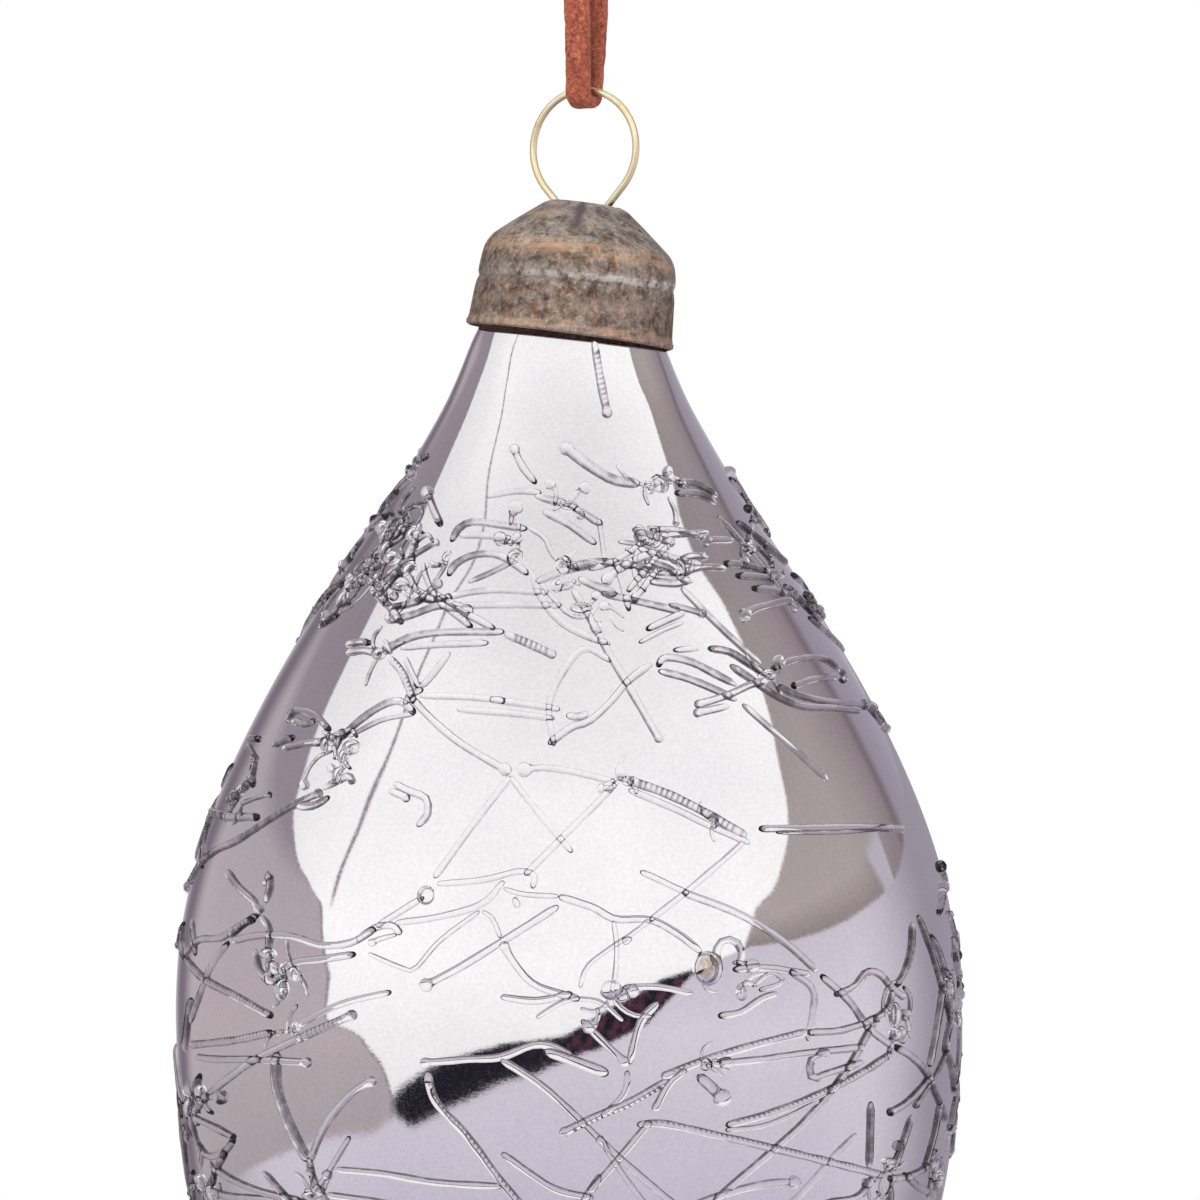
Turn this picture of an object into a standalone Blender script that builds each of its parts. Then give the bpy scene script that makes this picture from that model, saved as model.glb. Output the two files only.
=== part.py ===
"""Icicle hanging ornament: a blown, silvered glass drop with glass threads trailed over it, a worn
brass cap sitting crooked on its neck, a spring wire clip with a round ring, and a suede lace loop.

Metres, +Z up. The origin is the hanging point: the top of the lace loop, just under its knot.
The ring stands in a vertical plane turned a little away from the front, and the front faces -Y.
"""

import math

import bmesh
import bpy
from mathutils import Matrix, Vector

# Driving dimensions, in millimetres and degrees. Heights named *_UP are above the drop's equator,
# its widest ring, which hangs EQUATOR_DROP below the origin.
MM = 0.001
GAP = 0.35  # clear space kept between neighbouring solids

LOOP_DROP = 55.0  # from the hanging point to the wire at the ring's top
RING_TOP_UP = 104.6
EQUATOR_DROP = LOOP_DROP + RING_TOP_UP

# Outer outline of the glass, from the lip of the neck to the drawn tip: (radius, height up).
GLASS_OUTLINE = [
    (8.6, 85.0),
    (8.9, 80.5),
    (10.7, 76.5),
    (12.5, 72.0),
    (14.7, 67.5),
    (20.0, 58.5),
    (27.4, 47.3),
    (34.1, 36.0),
    (39.4, 24.8),
    (42.8, 13.5),
    (44.0, 2.3),
    (43.3, -11.5),
    (41.6, -22.0),
    (38.0, -34.0),
    (31.4, -48.5),
    (22.2, -65.0),
    (13.4, -81.0),
    (6.9, -95.0),
    (3.2, -107.0),
    (1.9, -114.0),
]
TIP_END_UP = -116.0
GLASS_WALL = 1.1
HOLLOW_END_UP = -91.0  # below this the drawn tip is solid glass
HOLLOW_END_OUTLINE = [(7.4, -80.0), (3.4, -88.0)]
GLASS_SIDES = 40
GLASS_STEP = 6.0  # spacing of the rings of faces down the glass

# Outline of the brass cap, from the rim to the crown: (radius, height above the rim).
CAP_WALL = 0.32
CAP_OUTLINE = [
    (11.75, 0.0),
    (11.65, 1.2),
    (11.15, 5.6),
    (10.85, 6.1),
    (11.1, 6.6),
    (10.75, 10.0),
    (10.1, 11.1),
    (5.3, 14.6),
    (4.5, 15.1),
]
CAP_SIDES = 40
CAP_LEAN = 7.5  # the crown leans towards +X
CAP_RIM_CENTRE = Vector((0.2, 0.0, 76.8))

WIRE_RADIUS = 0.4
RING_RADIUS = 6.58  # to the wire's centre line
RING_TURN = 28.5  # how far the ring's right side comes round towards the front
CLIP_X = 1.9
SHOULDER_SLANT = 42.0  # off vertical, where the wire runs straight in to the crown
BEND_AT = (2.45, 90.2)  # (sideways, height up) of the bends just under the crown
LEG_FOOT = (4.0, 72.0)  # the spring legs' lower ends, in the neck
HOLE_SIDE = 3.25  # sideways distance of each crown hole from the clip's axis
HOLE_LENGTH = 2.3
HOLE_WIDTH = 1.6
WIRE_SIDES = 6

LACE_WIDTH = 3.0
LACE_THICK = 1.4
# The strands, from the wire up to the knot: (middle line's X, each strand's distance from it, height).
STRANDS = [(1.9, 1.4, 0.0), (2.1, 2.2, 10.0), (1.75, 2.9, 24.0), (0.8, 2.4, 42.0), (0.0, 1.5, 54.6)]
KNOT_SIZE = Vector((9.0, 6.4, 7.4))  # across, through, tall
KNOT_CENTRE_UP = 4.4  # above the origin
TAIL_REACH = [(1.6, 0.0), (2.6, 5.0), (4.2, 10.0), (5.2, 14.0)]  # (to the side, height)

# Glass threads trailed over the drop: (degrees round from the front, height up), then whether
# the first and the last end are drawn into a bead.
THREAD_RADIUS = 0.45
BEAD_RADIUS = 0.95
THREAD_STEP = 3.6
THREAD_SIDES = 6
THREADS = {
    "thread_below_cap": ([(17, 72), (18, 67)], False, True),
    "thread_shoulder_front": ([(-2, 64), (25, 60), (56, 59)], True, True),
    "thread_shoulder_short": ([(-20, 64), (-9, 59)], True, False),
    "thread_band_arch": ([(-36, 53), (-34, 56), (-17, 55)], False, False),
    "thread_band_left": ([(-55, 42), (-29, 43), (-15, 44), (-3, 41)], False, True),
    "thread_band_slant": ([(-2, 49), (6, 41)], False, False),
    "thread_band_right": ([(36, 51), (55, 49), (74, 45)], True, False),
    "thread_right_hook": ([(43, 38), (70, 41), (70, 38), (50, 36)], False, False),
    "thread_long_front": ([(-41, 40), (-28, 36), (-8, 29), (7, 28), (29, 22), (65, 22)], True, True),
    "thread_centre_wave": ([(-22, 38), (2, 34), (14, 38), (29, 42), (36, 41)], False, True),
    "thread_left_cluster": ([(-60, 30), (-48, 31), (-36, 31)], True, False),
    "thread_left_rise": ([(-77, 21), (-66, 24), (-44, 27)], True, True),
    "thread_front_fall_left": ([(-10, 27), (-22, 17)], False, False),
    "thread_front_fall_right": ([(5, 26), (-6, 20)], False, False),
    "thread_belly_wave": ([(-22, 14), (-6, 17), (5, 13), (12, 13), (20, 9)], True, True),
    "thread_belly_long": ([(15, 17), (30, 12), (46, 4), (74, -6)], False, True),
    "thread_belly_bead": ([(-20, 6), (-6, 11)], True, False),
    "thread_left_belly": ([(-75, 7), (-43, 2)], False, True),
    "thread_lower_left": ([(-20, -2), (2, -18)], True, False),
    "thread_lower_front": ([(-7, -2), (16, -16)], False, True),
    "thread_lower_right": ([(44, -1), (33, -10), (22, -17)], True, False),
    "thread_back_band": ([(118, 50), (150, 44), (188, 49), (222, 43)], True, True),
    "thread_back_upper": ([(160, 62), (196, 58)], True, False),
    "thread_back_long": ([(112, 30), (146, 22), (184, 27), (226, 16)], False, True),
    "thread_back_belly": ([(104, 6), (140, -2), (176, 5), (214, -6)], True, False),
    "thread_back_lower": ([(130, -24), (168, -34), (204, -27)], True, True),
    "thread_right_side": ([(88, 34), (96, 18)], False, True),
    "thread_left_side": ([(252, 38), (262, 16)], True, False),
    "thread_left_lower": ([(-70, -12), (-44, -26)], False, True),
    "thread_taper_front": ([(-24, -42), (10, -58)], False, True),
    "thread_taper_right": ([(40, -34), (78, -50)], True, False),
    "thread_taper_back": ([(150, -52), (196, -70)], False, True),
}

# Directions of the ring's plane: along the ring's width, and square to it towards the back.
ACROSS = Vector((math.cos(math.radians(RING_TURN)), -math.sin(math.radians(RING_TURN)), 0.0))
THROUGH = Vector((math.sin(math.radians(RING_TURN)), math.cos(math.radians(RING_TURN)), 0.0))
UP = Vector((0.0, 0.0, 1.0))
CLIP_AXIS = Vector((CLIP_X, 0.0, 0.0))


def clear_scene():
    for old in list(bpy.data.objects):
        bpy.data.objects.remove(old, do_unlink=True)


def principled(name, colour, roughness, metallic=0.0, transmission=0.0):
    made = bpy.data.materials.new(name)
    made.use_nodes = True
    shader = made.node_tree.nodes["Principled BSDF"]
    shader.inputs["Base Color"].default_value = (*colour, 1.0)
    shader.inputs["Roughness"].default_value = roughness
    shader.inputs["Metallic"].default_value = metallic
    shader.inputs["Transmission Weight"].default_value = transmission
    return made


def smooth_line(points, step):
    """Points about a step apart along a smooth curve through the given ones (Catmull-Rom)."""
    before = points[0] * 2 - points[1]
    after = points[-1] * 2 - points[-2]
    row = [before, *points, after]
    line = [points[0]]
    for a, b, c, d in zip(row, row[1:], row[2:], row[3:]):
        pieces = max(1, round((c - b).length / step))
        for k in range(1, pieces + 1):
            t = k / pieces
            bend = (a * 2 - b * 5 + c * 4 - d) * t**2 + (b * 3 - a - c * 3 + d) * t**3
            line.append((b * 2 + (c - a) * t + bend) / 2)
    return line


def below_equator(point):
    """A point given above the equator, moved to its place below the origin."""
    return point - UP * EQUATOR_DROP


def new_piece(name, shape, material, pivot):
    """Makes an object of a bmesh in millimetres, with the pivot, an empty on its joint, as parent."""
    bmesh.ops.recalc_face_normals(shape, faces=shape.faces)
    bmesh.ops.scale(shape, vec=(MM, MM, MM), verts=shape.verts)
    bmesh.ops.translate(shape, vec=-pivot.location, verts=shape.verts)
    mesh = bpy.data.meshes.new(name)
    shape.to_mesh(mesh)
    shape.free()
    mesh.materials.append(material)
    mesh.shade_smooth()
    mesh.set_sharp_from_angle(angle=math.radians(40))
    piece = bpy.data.objects.new(name, mesh)
    bpy.context.scene.collection.objects.link(piece)
    piece.parent = pivot
    return piece


def new_pivot(name, place):
    pivot = bpy.data.objects.new(name, None)
    pivot.location = place * MM
    pivot.empty_display_size = 10 * MM
    bpy.context.scene.collection.objects.link(pivot)
    return pivot


def turned(outline, sides):
    """A solid of revolution about Z from (radius, height) pairs; radius 0 closes on the axis."""
    shape = bmesh.new()
    corners = [shape.verts.new((radius, 0.0, height)) for radius, height in outline]
    for pair in zip(corners, corners[1:]):
        shape.edges.new(pair)
    bmesh.ops.spin(
        shape,
        geom=corners + list(shape.edges),
        axis=UP,
        cent=(0.0, 0.0, 0.0),
        steps=sides,
        angle=math.tau,
        use_merge=True,
    )
    bmesh.ops.remove_doubles(shape, verts=shape.verts, dist=1e-4)
    return shape


def swept(centres, normals, section_at):
    """A closed tube: at each centre a ring of (along the normal, along the side) offsets."""
    shape = bmesh.new()
    rings = []
    last = len(centres) - 1
    for i, centre in enumerate(centres):
        tangent = (centres[min(i + 1, last)] - centres[max(i - 1, 0)]).normalized()
        side = tangent.cross(normals[i]).normalized()
        normal = side.cross(tangent)
        rings.append([shape.verts.new(centre + normal * a + side * b) for a, b in section_at(i)])
    for ring, following in zip(rings, rings[1:]):
        for k in range(len(ring)):
            after = (k + 1) % len(ring)
            shape.faces.new((ring[k], ring[after], following[after], following[k]))
    shape.faces.new(rings[0])
    shape.faces.new(rings[-1])
    return shape


def circle(radius, sides):
    return [
        (radius * math.cos(math.tau * k / sides), radius * math.sin(math.tau * k / sides))
        for k in range(sides)
    ]


def flat_section(width, thickness):
    """A flat lace's section, its corners taken off."""
    corner = thickness / 4
    half, deep = width / 2, thickness / 2
    return [
        (half - corner, deep),
        (half, deep - corner),
        (half, corner - deep),
        (half - corner, -deep),
        (corner - half, -deep),
        (-half, corner - deep),
        (-half, deep - corner),
        (corner - half, deep),
    ]


def outline_line(outline, step):
    """A smooth outline through (radius, height) pairs, as pairs again."""
    points = [Vector((radius, height)) for radius, height in outline]
    return [(point.x, point.y) for point in smooth_line(points, step)]


def glass_radius(height):
    """Outer radius of the glass at a height above the equator."""
    line = outline_line(GLASS_OUTLINE, 1.0)
    for (above, top), (below, bottom) in zip(line, line[1:]):
        if top >= height >= bottom:
            return above + (below - above) * (top - height) / (top - bottom)
    raise ValueError(f"no glass at height {height}")


def glass_point(degrees, height, clearance):
    """A point that far off the glass, and the glass's outward direction there."""
    slope = glass_radius(height + 0.5) - glass_radius(height - 0.5)
    turn = math.radians(degrees)
    outward = Vector((math.sin(turn), -math.cos(turn), 0.0))
    normal = (outward - UP * slope).normalized()
    return outward * glass_radius(height) + UP * height + normal * clearance, normal


def glass_drop(material, pivot):
    """The blown shell: open at the lip, its hollow closing where the drawn tip turns solid."""
    outer = outline_line(GLASS_OUTLINE, GLASS_STEP)
    inner = [
        (radius - GLASS_WALL, height)
        for radius, height in outer
        if height > HOLLOW_END_OUTLINE[0][1] + GLASS_STEP
    ]
    hollow = [*inner, *HOLLOW_END_OUTLINE, (0.0, HOLLOW_END_UP)]
    shape = turned([*reversed(hollow), *outer, (0.0, TIP_END_UP)], GLASS_SIDES)
    bmesh.ops.translate(shape, vec=below_equator(Vector()), verts=shape.verts)
    return new_piece("glass_drop", shape, material, pivot)


def glass_thread(name, points, beads, material, pivot):
    """One trailed thread, its ends tapered or drawn into beads, lying just off the glass."""
    flat = smooth_line([Vector(point) for point in points], 1.0)
    spots = [glass_point(place.x, place.y, 0.0)[0] for place in flat]
    route = [0]
    for i, spot in enumerate(spots):
        if (spot - spots[route[-1]]).length >= THREAD_STEP:
            route.append(i)
    route[-1] = len(spots) - 1
    last = len(route) - 1

    def radius_at(k):
        for end, beaded in ((0, beads[0]), (last, beads[1])):
            if k == end:
                return BEAD_RADIUS * 0.6 if beaded else THREAD_RADIUS * 0.6
            if abs(k - end) == 1 and beaded:
                return BEAD_RADIUS
        return THREAD_RADIUS

    placed = [
        glass_point(flat[i].x, flat[i].y, GAP + radius_at(k)) for k, i in enumerate(route)
    ]
    shape = swept(
        [below_equator(centre) for centre, _ in placed],
        [normal for _, normal in placed],
        lambda k: circle(radius_at(k), THREAD_SIDES),
    )
    return new_piece(name, shape, material, pivot)


def cap_matrix():
    place = below_equator(CAP_RIM_CENTRE)
    return Matrix.Translation(place) @ Matrix.Rotation(math.radians(CAP_LEAN), 4, "Y")


def crown_point(side):
    """Where the wire on that side, +1 or -1, crosses the middle of the tilted crown's sheet."""
    crown = cap_matrix() @ Vector((0.0, 0.0, CAP_OUTLINE[-1][1] - CAP_WALL / 2))
    slope = math.tan(math.radians(CAP_LEAN))
    spot = CLIP_AXIS + ACROSS * HOLE_SIDE * side
    return Vector((spot.x, spot.y, crown.z - (spot.x - crown.x) * slope))


def hole_cutter(name, side, pivot):
    """An upright slot with round ends, longer than the crown is thick."""
    reach = 1.4
    end_steps = 8
    radius = HOLE_WIDTH / 2
    shift = (HOLE_LENGTH - HOLE_WIDTH) / 2
    rim = []
    for start, sign in ((-90.0, 1), (90.0, -1)):
        for k in range(end_steps + 1):
            angle = math.radians(start + 180.0 * k / end_steps)
            rim.append((sign * shift + radius * math.cos(angle), radius * math.sin(angle)))
    centre = crown_point(side)
    shape = swept(
        [centre - UP * reach, centre + UP * reach],
        [ACROSS, ACROSS],
        lambda k: rim,
    )
    cutter = new_piece(name, shape, None, pivot)
    cutter.hide_render = True
    cutter.display_type = "WIRE"
    return cutter


def brass_cap(material, pivot):
    """The pressed cap: a flared skirt, a rolled groove, a straight wall and a conical crown."""
    inside = [(radius - CAP_WALL, height) for radius, height in CAP_OUTLINE[:-2]]
    inside += [(radius - CAP_WALL / 2, height - CAP_WALL) for radius, height in CAP_OUTLINE[-2:]]
    crown = CAP_OUTLINE[-1][1]
    outline = [(0.0, crown - CAP_WALL), *reversed(inside), *CAP_OUTLINE, (0.0, crown)]
    shape = turned(outline, CAP_SIDES)
    shape.transform(cap_matrix())
    cap = new_piece("brass_cap", shape, material, pivot)
    for side in (-1, 1):
        cut = cap.modifiers.new("wire hole", "BOOLEAN")
        cut.operation = "DIFFERENCE"
        cut.object = hole_cutter(f"hole_cutter_{side}", side, pivot)
    return cap


def clip_line():
    """The clip's centre line, foot to foot, as (sideways, height up) points."""
    slant = math.radians(SHOULDER_SLANT)
    centre_up = RING_TOP_UP - RING_RADIUS
    arc_points = 28
    start, sweep = -slant, math.pi + 2 * slant
    ring = [
        (
            RING_RADIUS * math.cos(start + sweep * k / arc_points),
            centre_up + RING_RADIUS * math.sin(start + sweep * k / arc_points),
        )
        for k in range(arc_points + 1)
    ]
    side, height = ring[0]
    run = (side - HOLE_SIDE) / math.sin(slant)
    entry = (HOLE_SIDE, height - run * math.cos(slant))
    right = [LEG_FOOT, (3.2, 81.0), (2.6, 88.0), BEND_AT, (2.7, 91.1), entry]
    left = [(-side, height) for side, height in reversed(right)]
    return [*right, *ring, *left]


def wire_clip(material, pivot):
    """One length of wire: two spring legs, the bends under the crown and the open ring."""
    centres = [below_equator(CLIP_AXIS + ACROSS * side + UP * up) for side, up in clip_line()]
    normals = [THROUGH] * len(centres)
    section = circle(WIRE_RADIUS, WIRE_SIDES)
    return new_piece("wire_clip", swept(centres, normals, lambda k: section), material, pivot)


def strand_line(sign):
    """One strand of the loop, from beside the wire up to the knot."""
    points = [
        Vector((middle, 0.0, height - LOOP_DROP)) + THROUGH * sign * away
        for middle, away, height in STRANDS
    ]
    return smooth_line(points, 3.0)


def suede_lace(material, pivot):
    """The loop from the knot down round the ring's wire and back, as one flat band."""
    bight_radius = STRANDS[0][1]
    bend_steps = 8
    bend = [
        CLIP_AXIS
        - UP * LOOP_DROP
        - THROUGH * bight_radius * math.cos(math.pi * k / bend_steps)
        - UP * bight_radius * math.sin(math.pi * k / bend_steps)
        for k in range(1, bend_steps)
    ]
    centres = [*reversed(strand_line(-1)), *bend, *strand_line(1)]
    section = flat_section(LACE_WIDTH, LACE_THICK)
    shape = swept(centres, [ACROSS] * len(centres), lambda k: section)
    return new_piece("suede_lace", shape, material, pivot)


def lace_knot(material, pivot):
    """The knot's outer shape; the hanging point is just under it."""
    shape = bmesh.new()
    bmesh.ops.create_icosphere(shape, subdivisions=2, radius=0.5)
    turn = Matrix((ACROSS, THROUGH, UP)).transposed().to_4x4()
    size = Matrix.Diagonal((*KNOT_SIZE, 1.0))
    shape.transform(Matrix.Translation(UP * KNOT_CENTRE_UP) @ turn @ size)
    return new_piece("lace_knot", shape, material, pivot)


def lace_tail(name, sign, material, pivot):
    """A cut end of the lace, standing out of the top of the knot."""
    base = KNOT_CENTRE_UP + KNOT_SIZE.z / 2 + GAP
    points = [
        ACROSS * sign * away + THROUGH * sign * away * 0.3 + UP * (base + height)
        for away, height in TAIL_REACH
    ]
    centres = smooth_line(points, 3.0)
    section = flat_section(LACE_WIDTH, LACE_THICK)
    shape = swept(centres, [THROUGH] * len(centres), lambda k: section)
    return new_piece(name, shape, material, pivot)


def main():
    clear_scene()
    silvered_glass = principled("silvered_glass", (0.78, 0.76, 0.80), 0.06, 0.95)
    clear_glass = principled("clear_glass", (0.92, 0.92, 0.93), 0.05, 0.0, 1.0)
    worn_brass = principled("worn_brass", (0.33, 0.25, 0.17), 0.5, 0.8)
    gold_wire = principled("gold_wire", (0.83, 0.66, 0.34), 0.25, 1.0)
    suede = principled("rust_suede", (0.42, 0.13, 0.07), 0.95)

    ring_top = CLIP_AXIS - UP * LOOP_DROP
    holes = (crown_point(-1) + crown_point(1)) / 2
    knot_pivot = new_pivot("hanging_point", Vector())
    lace_pivot = new_pivot("lace_twist_axis", Vector())
    ring_pivot = new_pivot("ring_swing_axis", ring_top)
    cap_pivot = new_pivot("clip_rock_axis", holes)
    glass_pivot = new_pivot("glass_pull_axis", below_equator(UP * GLASS_OUTLINE[0][1]))

    lace_knot(suede, knot_pivot)
    lace_tail("lace_tail_left", -1, suede, knot_pivot)
    lace_tail("lace_tail_right", 1, suede, knot_pivot)
    suede_lace(suede, lace_pivot)
    wire_clip(gold_wire, ring_pivot)
    brass_cap(worn_brass, cap_pivot)
    glass_drop(silvered_glass, glass_pivot)
    for name, (points, first_bead, last_bead) in THREADS.items():
        glass_thread(name, points, (first_bead, last_bead), clear_glass, glass_pivot)


main()
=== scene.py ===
"""Looks of the icicle hanging ornament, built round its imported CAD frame.

A blown, silvered glass drop with clear glass threads melted onto it, a worn brass cap, a spring wire
clip and a knotted suede lace. Lengths are in millimetres in the row frame, whose origin is the hanging
point, unless a name ends in _UP: those heights are above the drop's equator, its widest ring.
"""

import math
import random

import bmesh
import bpy
import numpy as np
from mathutils import Matrix, Vector, noise


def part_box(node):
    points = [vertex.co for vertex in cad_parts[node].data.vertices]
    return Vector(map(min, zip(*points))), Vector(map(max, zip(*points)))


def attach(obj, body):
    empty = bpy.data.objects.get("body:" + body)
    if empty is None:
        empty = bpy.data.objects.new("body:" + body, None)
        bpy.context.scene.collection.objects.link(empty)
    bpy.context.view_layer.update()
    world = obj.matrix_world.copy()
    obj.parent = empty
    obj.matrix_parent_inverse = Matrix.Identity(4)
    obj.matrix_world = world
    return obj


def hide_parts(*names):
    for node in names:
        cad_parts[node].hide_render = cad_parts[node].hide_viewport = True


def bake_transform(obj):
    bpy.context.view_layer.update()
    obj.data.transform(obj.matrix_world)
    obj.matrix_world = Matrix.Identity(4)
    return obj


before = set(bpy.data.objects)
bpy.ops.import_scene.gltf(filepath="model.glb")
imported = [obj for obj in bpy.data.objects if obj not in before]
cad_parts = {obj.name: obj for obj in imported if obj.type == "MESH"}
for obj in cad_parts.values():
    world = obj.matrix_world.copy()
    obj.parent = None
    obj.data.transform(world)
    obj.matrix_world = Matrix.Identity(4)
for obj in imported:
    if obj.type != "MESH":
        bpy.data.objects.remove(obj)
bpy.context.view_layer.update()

MM = 0.001
TIP_END_UP = -116.0
EQUATOR_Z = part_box("glass_drop")[0].z / MM - TIP_END_UP
UP = Vector((0.0, 0.0, 1.0))

# The view: level, from the front, through a long lens.
VIEW_WIDTH = 135.0
VIEW_CENTRE_X = 3.66
VIEW_CENTRE_UP = 47.25
VIEW_DISTANCE = 750.0
SENSOR_WIDTH = 36.0
FLOOR_GAP = 30.0  # between the drop's tip and the floor
FLOOR_RADIUS = 1200.0

# The clip: a round ring in a vertical plane, its right side turned a little to the front.
LOOP_DROP = 55.0
CLIP_X = 1.9
RING_RADIUS = 6.58
RING_TURN = math.radians(28.5)
WIRE_RADIUS = 0.4
SHOULDER_SLANT = math.radians(42.0)
HOLE_SIDE = 3.25
HOLE_LENGTH = 2.3
HOLE_WIDTH = 1.6
ACROSS = Vector((math.cos(RING_TURN), -math.sin(RING_TURN), 0.0))
THROUGH = Vector((math.sin(RING_TURN), math.cos(RING_TURN), 0.0))
CLIP_AXIS = Vector((CLIP_X, 0.0, 0.0))

# The lace: a flat band. Its strands, from the wire up to the knot, are given as
# (middle line's X, each strand's distance from it, height above the wire).
LACE_WIDTH = 3.0
LACE_THICK = 1.4
STRANDS = [(1.9, 1.4, 0.0), (2.1, 2.2, 10.0), (1.75, 2.9, 24.0), (0.8, 2.4, 42.0), (0.0, 1.5, 54.6)]
TAIL_REACH = [(1.6, 0.0), (2.6, 5.0), (4.2, 10.0), (5.2, 14.0)]
LACE_STEP = 0.3
LACE_SEED = 7  # fixes the lace's small unevenness, which would otherwise differ from run to run
KNOT_CENTRE_UP = 4.4  # above the hanging point
KNOT_TOP = 8.1
KNOT_STEPS = 32
KNOT_GAP = 0.35  # how far each end stops short of closing the knot's curve, in radians

# The glass: (radius, height up), from the lip of the neck to the drawn tip.
GLASS_OUTLINE = [
    (8.6, 85.0), (8.9, 80.5), (10.7, 76.5), (12.5, 72.0), (14.7, 67.5), (20.0, 58.5), (27.4, 47.3),
    (34.1, 36.0), (39.4, 24.8), (42.8, 13.5), (44.0, 2.3), (43.3, -11.5), (41.6, -22.0),
    (38.0, -34.0), (31.4, -48.5), (22.2, -65.0), (13.4, -81.0), (6.9, -95.0), (3.2, -107.0),
    (1.9, -114.0),
]
GLASS_WALL = 1.1
GLASS_SIDES = 176

# The cap: (radius, height above its rim); the crown leans towards +X.
CAP_WALL = 0.32
CAP_OUTLINE = [
    (11.42, 0.0), (11.74, 0.2), (11.76, 0.6), (11.5, 1.3), (11.18, 5.4), (10.98, 5.95),
    (11.0, 6.25), (11.14, 6.7), (11.06, 8.0), (10.75, 9.3), (10.15, 10.3), (9.3, 11.1),
    (7.3, 12.75), (5.3, 14.3), (4.7, 14.75), (3.9, 15.1),
]
CAP_LEAN = math.radians(7.5)
CAP_RIM_CENTRE = Vector((0.2, 0.0, 76.8))
CROWN_HEIGHT = CAP_OUTLINE[-1][1]
LEDGE_HEIGHT = 6.7
LEDGE_SLANT = 0.05  # how much the ledge rises towards +X
CREASE_TURN = -0.10  # where the crown's crease is, in radians round from the front


# ---------------------------------------------------------------- shapes


def smooth_line(points, step):
    """Points about a step apart along a smooth curve through the given ones (Catmull-Rom)."""
    before = points[0] * 2 - points[1]
    after = points[-1] * 2 - points[-2]
    row = [before, *points, after]
    line = [points[0]]
    for a, b, c, d in zip(row, row[1:], row[2:], row[3:]):
        pieces = max(1, round((c - b).length / step))
        for k in range(1, pieces + 1):
            t = k / pieces
            bend = (a * 2 - b * 5 + c * 4 - d) * t**2 + (b * 3 - a - c * 3 + d) * t**3
            line.append((b * 2 + (c - a) * t + bend) / 2)
    return line


def run_lengths(points):
    """How far along the line each of its points lies."""
    runs = [0.0]
    for before, after in zip(points, points[1:]):
        runs.append(runs[-1] + (after - before).length)
    return runs


def outline_line(outline, step):
    return [(p.x, p.y) for p in smooth_line([Vector(pair) for pair in outline], step)]


def smooth_step(low, high, value):
    t = min(1.0, max(0.0, (value - low) / (high - low)))
    return t * t * (3.0 - 2.0 * t)


def hump(value, middle, width):
    """1 where value is at the middle, falling to 0 on both sides as a bell curve."""
    return math.exp(-(((value - middle) / width) ** 2))


def angles(count):
    """Angles evenly spaced round a full turn, in radians."""
    return [math.tau * k / count for k in range(count)]


def new_piece(name, vertices, faces, material, body, slot, crease=40.0):
    """A mesh object of points in millimetres, with its material, riding on a body; slot is not used."""
    mesh = bpy.data.meshes.new(name)
    mesh.from_pydata([Vector(v) * MM for v in vertices], [], faces)
    mesh.materials.append(material)
    mesh.shade_smooth()
    mesh.set_sharp_from_angle(angle=math.radians(crease))
    piece = bpy.data.objects.new(name, mesh)
    bpy.context.scene.collection.objects.link(piece)
    if body:
        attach(piece, body)
    return piece


def point_values(piece, name, values):
    """Stores a number at each of the mesh's points, for its material to read."""
    layer = piece.data.attributes.new(name, "FLOAT", "POINT")
    layer.data.foreach_set("value", np.asarray(values, np.float32))


def turned(outline, sides):
    """Points and faces of a solid of revolution about Z; radius 0 closes it on the axis."""
    vertices, faces, rings = [], [], []
    for radius, height in outline:
        first = len(vertices)
        count = sides if radius > 0 else 1
        for turn in angles(sides)[:count]:
            vertices.append(Vector((radius * math.sin(turn), -radius * math.cos(turn), height)))
        rings.append([first + k % count for k in range(sides)])
    for ring, following in zip(rings, rings[1:]):
        for k in range(sides):
            after = (k + 1) % sides
            corners = [ring[k], following[k], following[after], ring[after]]
            faces.append(list(dict.fromkeys(corners)))
    return vertices, faces


def tube_faces(first, rings, sides):
    """Faces round that many rings of points, the first of which starts at point first, and both ends."""
    faces = []
    for ring in range(first, first + (rings - 1) * sides, sides):
        for k in range(sides):
            after = (k + 1) % sides
            faces.append((ring + k, ring + after, ring + sides + after, ring + sides + k))
    faces.append(tuple(range(first, first + sides))[::-1])
    faces.append(tuple(range(first + (rings - 1) * sides, first + rings * sides)))
    return faces


def swept(centres, facing, section):
    """Points and faces of a closed tube with the same section of (facing, side) offsets all along."""
    vertices = []
    last = len(centres) - 1
    for i, centre in enumerate(centres):
        tangent = (centres[min(i + 1, last)] - centres[max(i - 1, 0)]).normalized()
        side = tangent.cross(facing).normalized()
        normal = side.cross(tangent)
        vertices += [centre + normal * a + side * b for a, b in section]
    return vertices, tube_faces(0, len(centres), len(section))


def circle(radius, sides):
    return [(radius * math.cos(turn), radius * math.sin(turn)) for turn in angles(sides)]


def outward_faces(piece):
    """Turns every face of a closed mesh to the outside."""
    shape = bmesh.new()
    shape.from_mesh(piece.data)
    bmesh.ops.recalc_face_normals(shape, faces=shape.faces)
    shape.to_mesh(piece.data)
    shape.free()


def closed_piece(name, shape, material, body, slot, node):
    """A closed mesh piece, its faces turned outward, that stands for one CAD node."""
    piece = new_piece(name, *shape, material, body, slot)
    outward_faces(piece)
    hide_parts(node)
    return piece


# ---------------------------------------------------------------- materials


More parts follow.
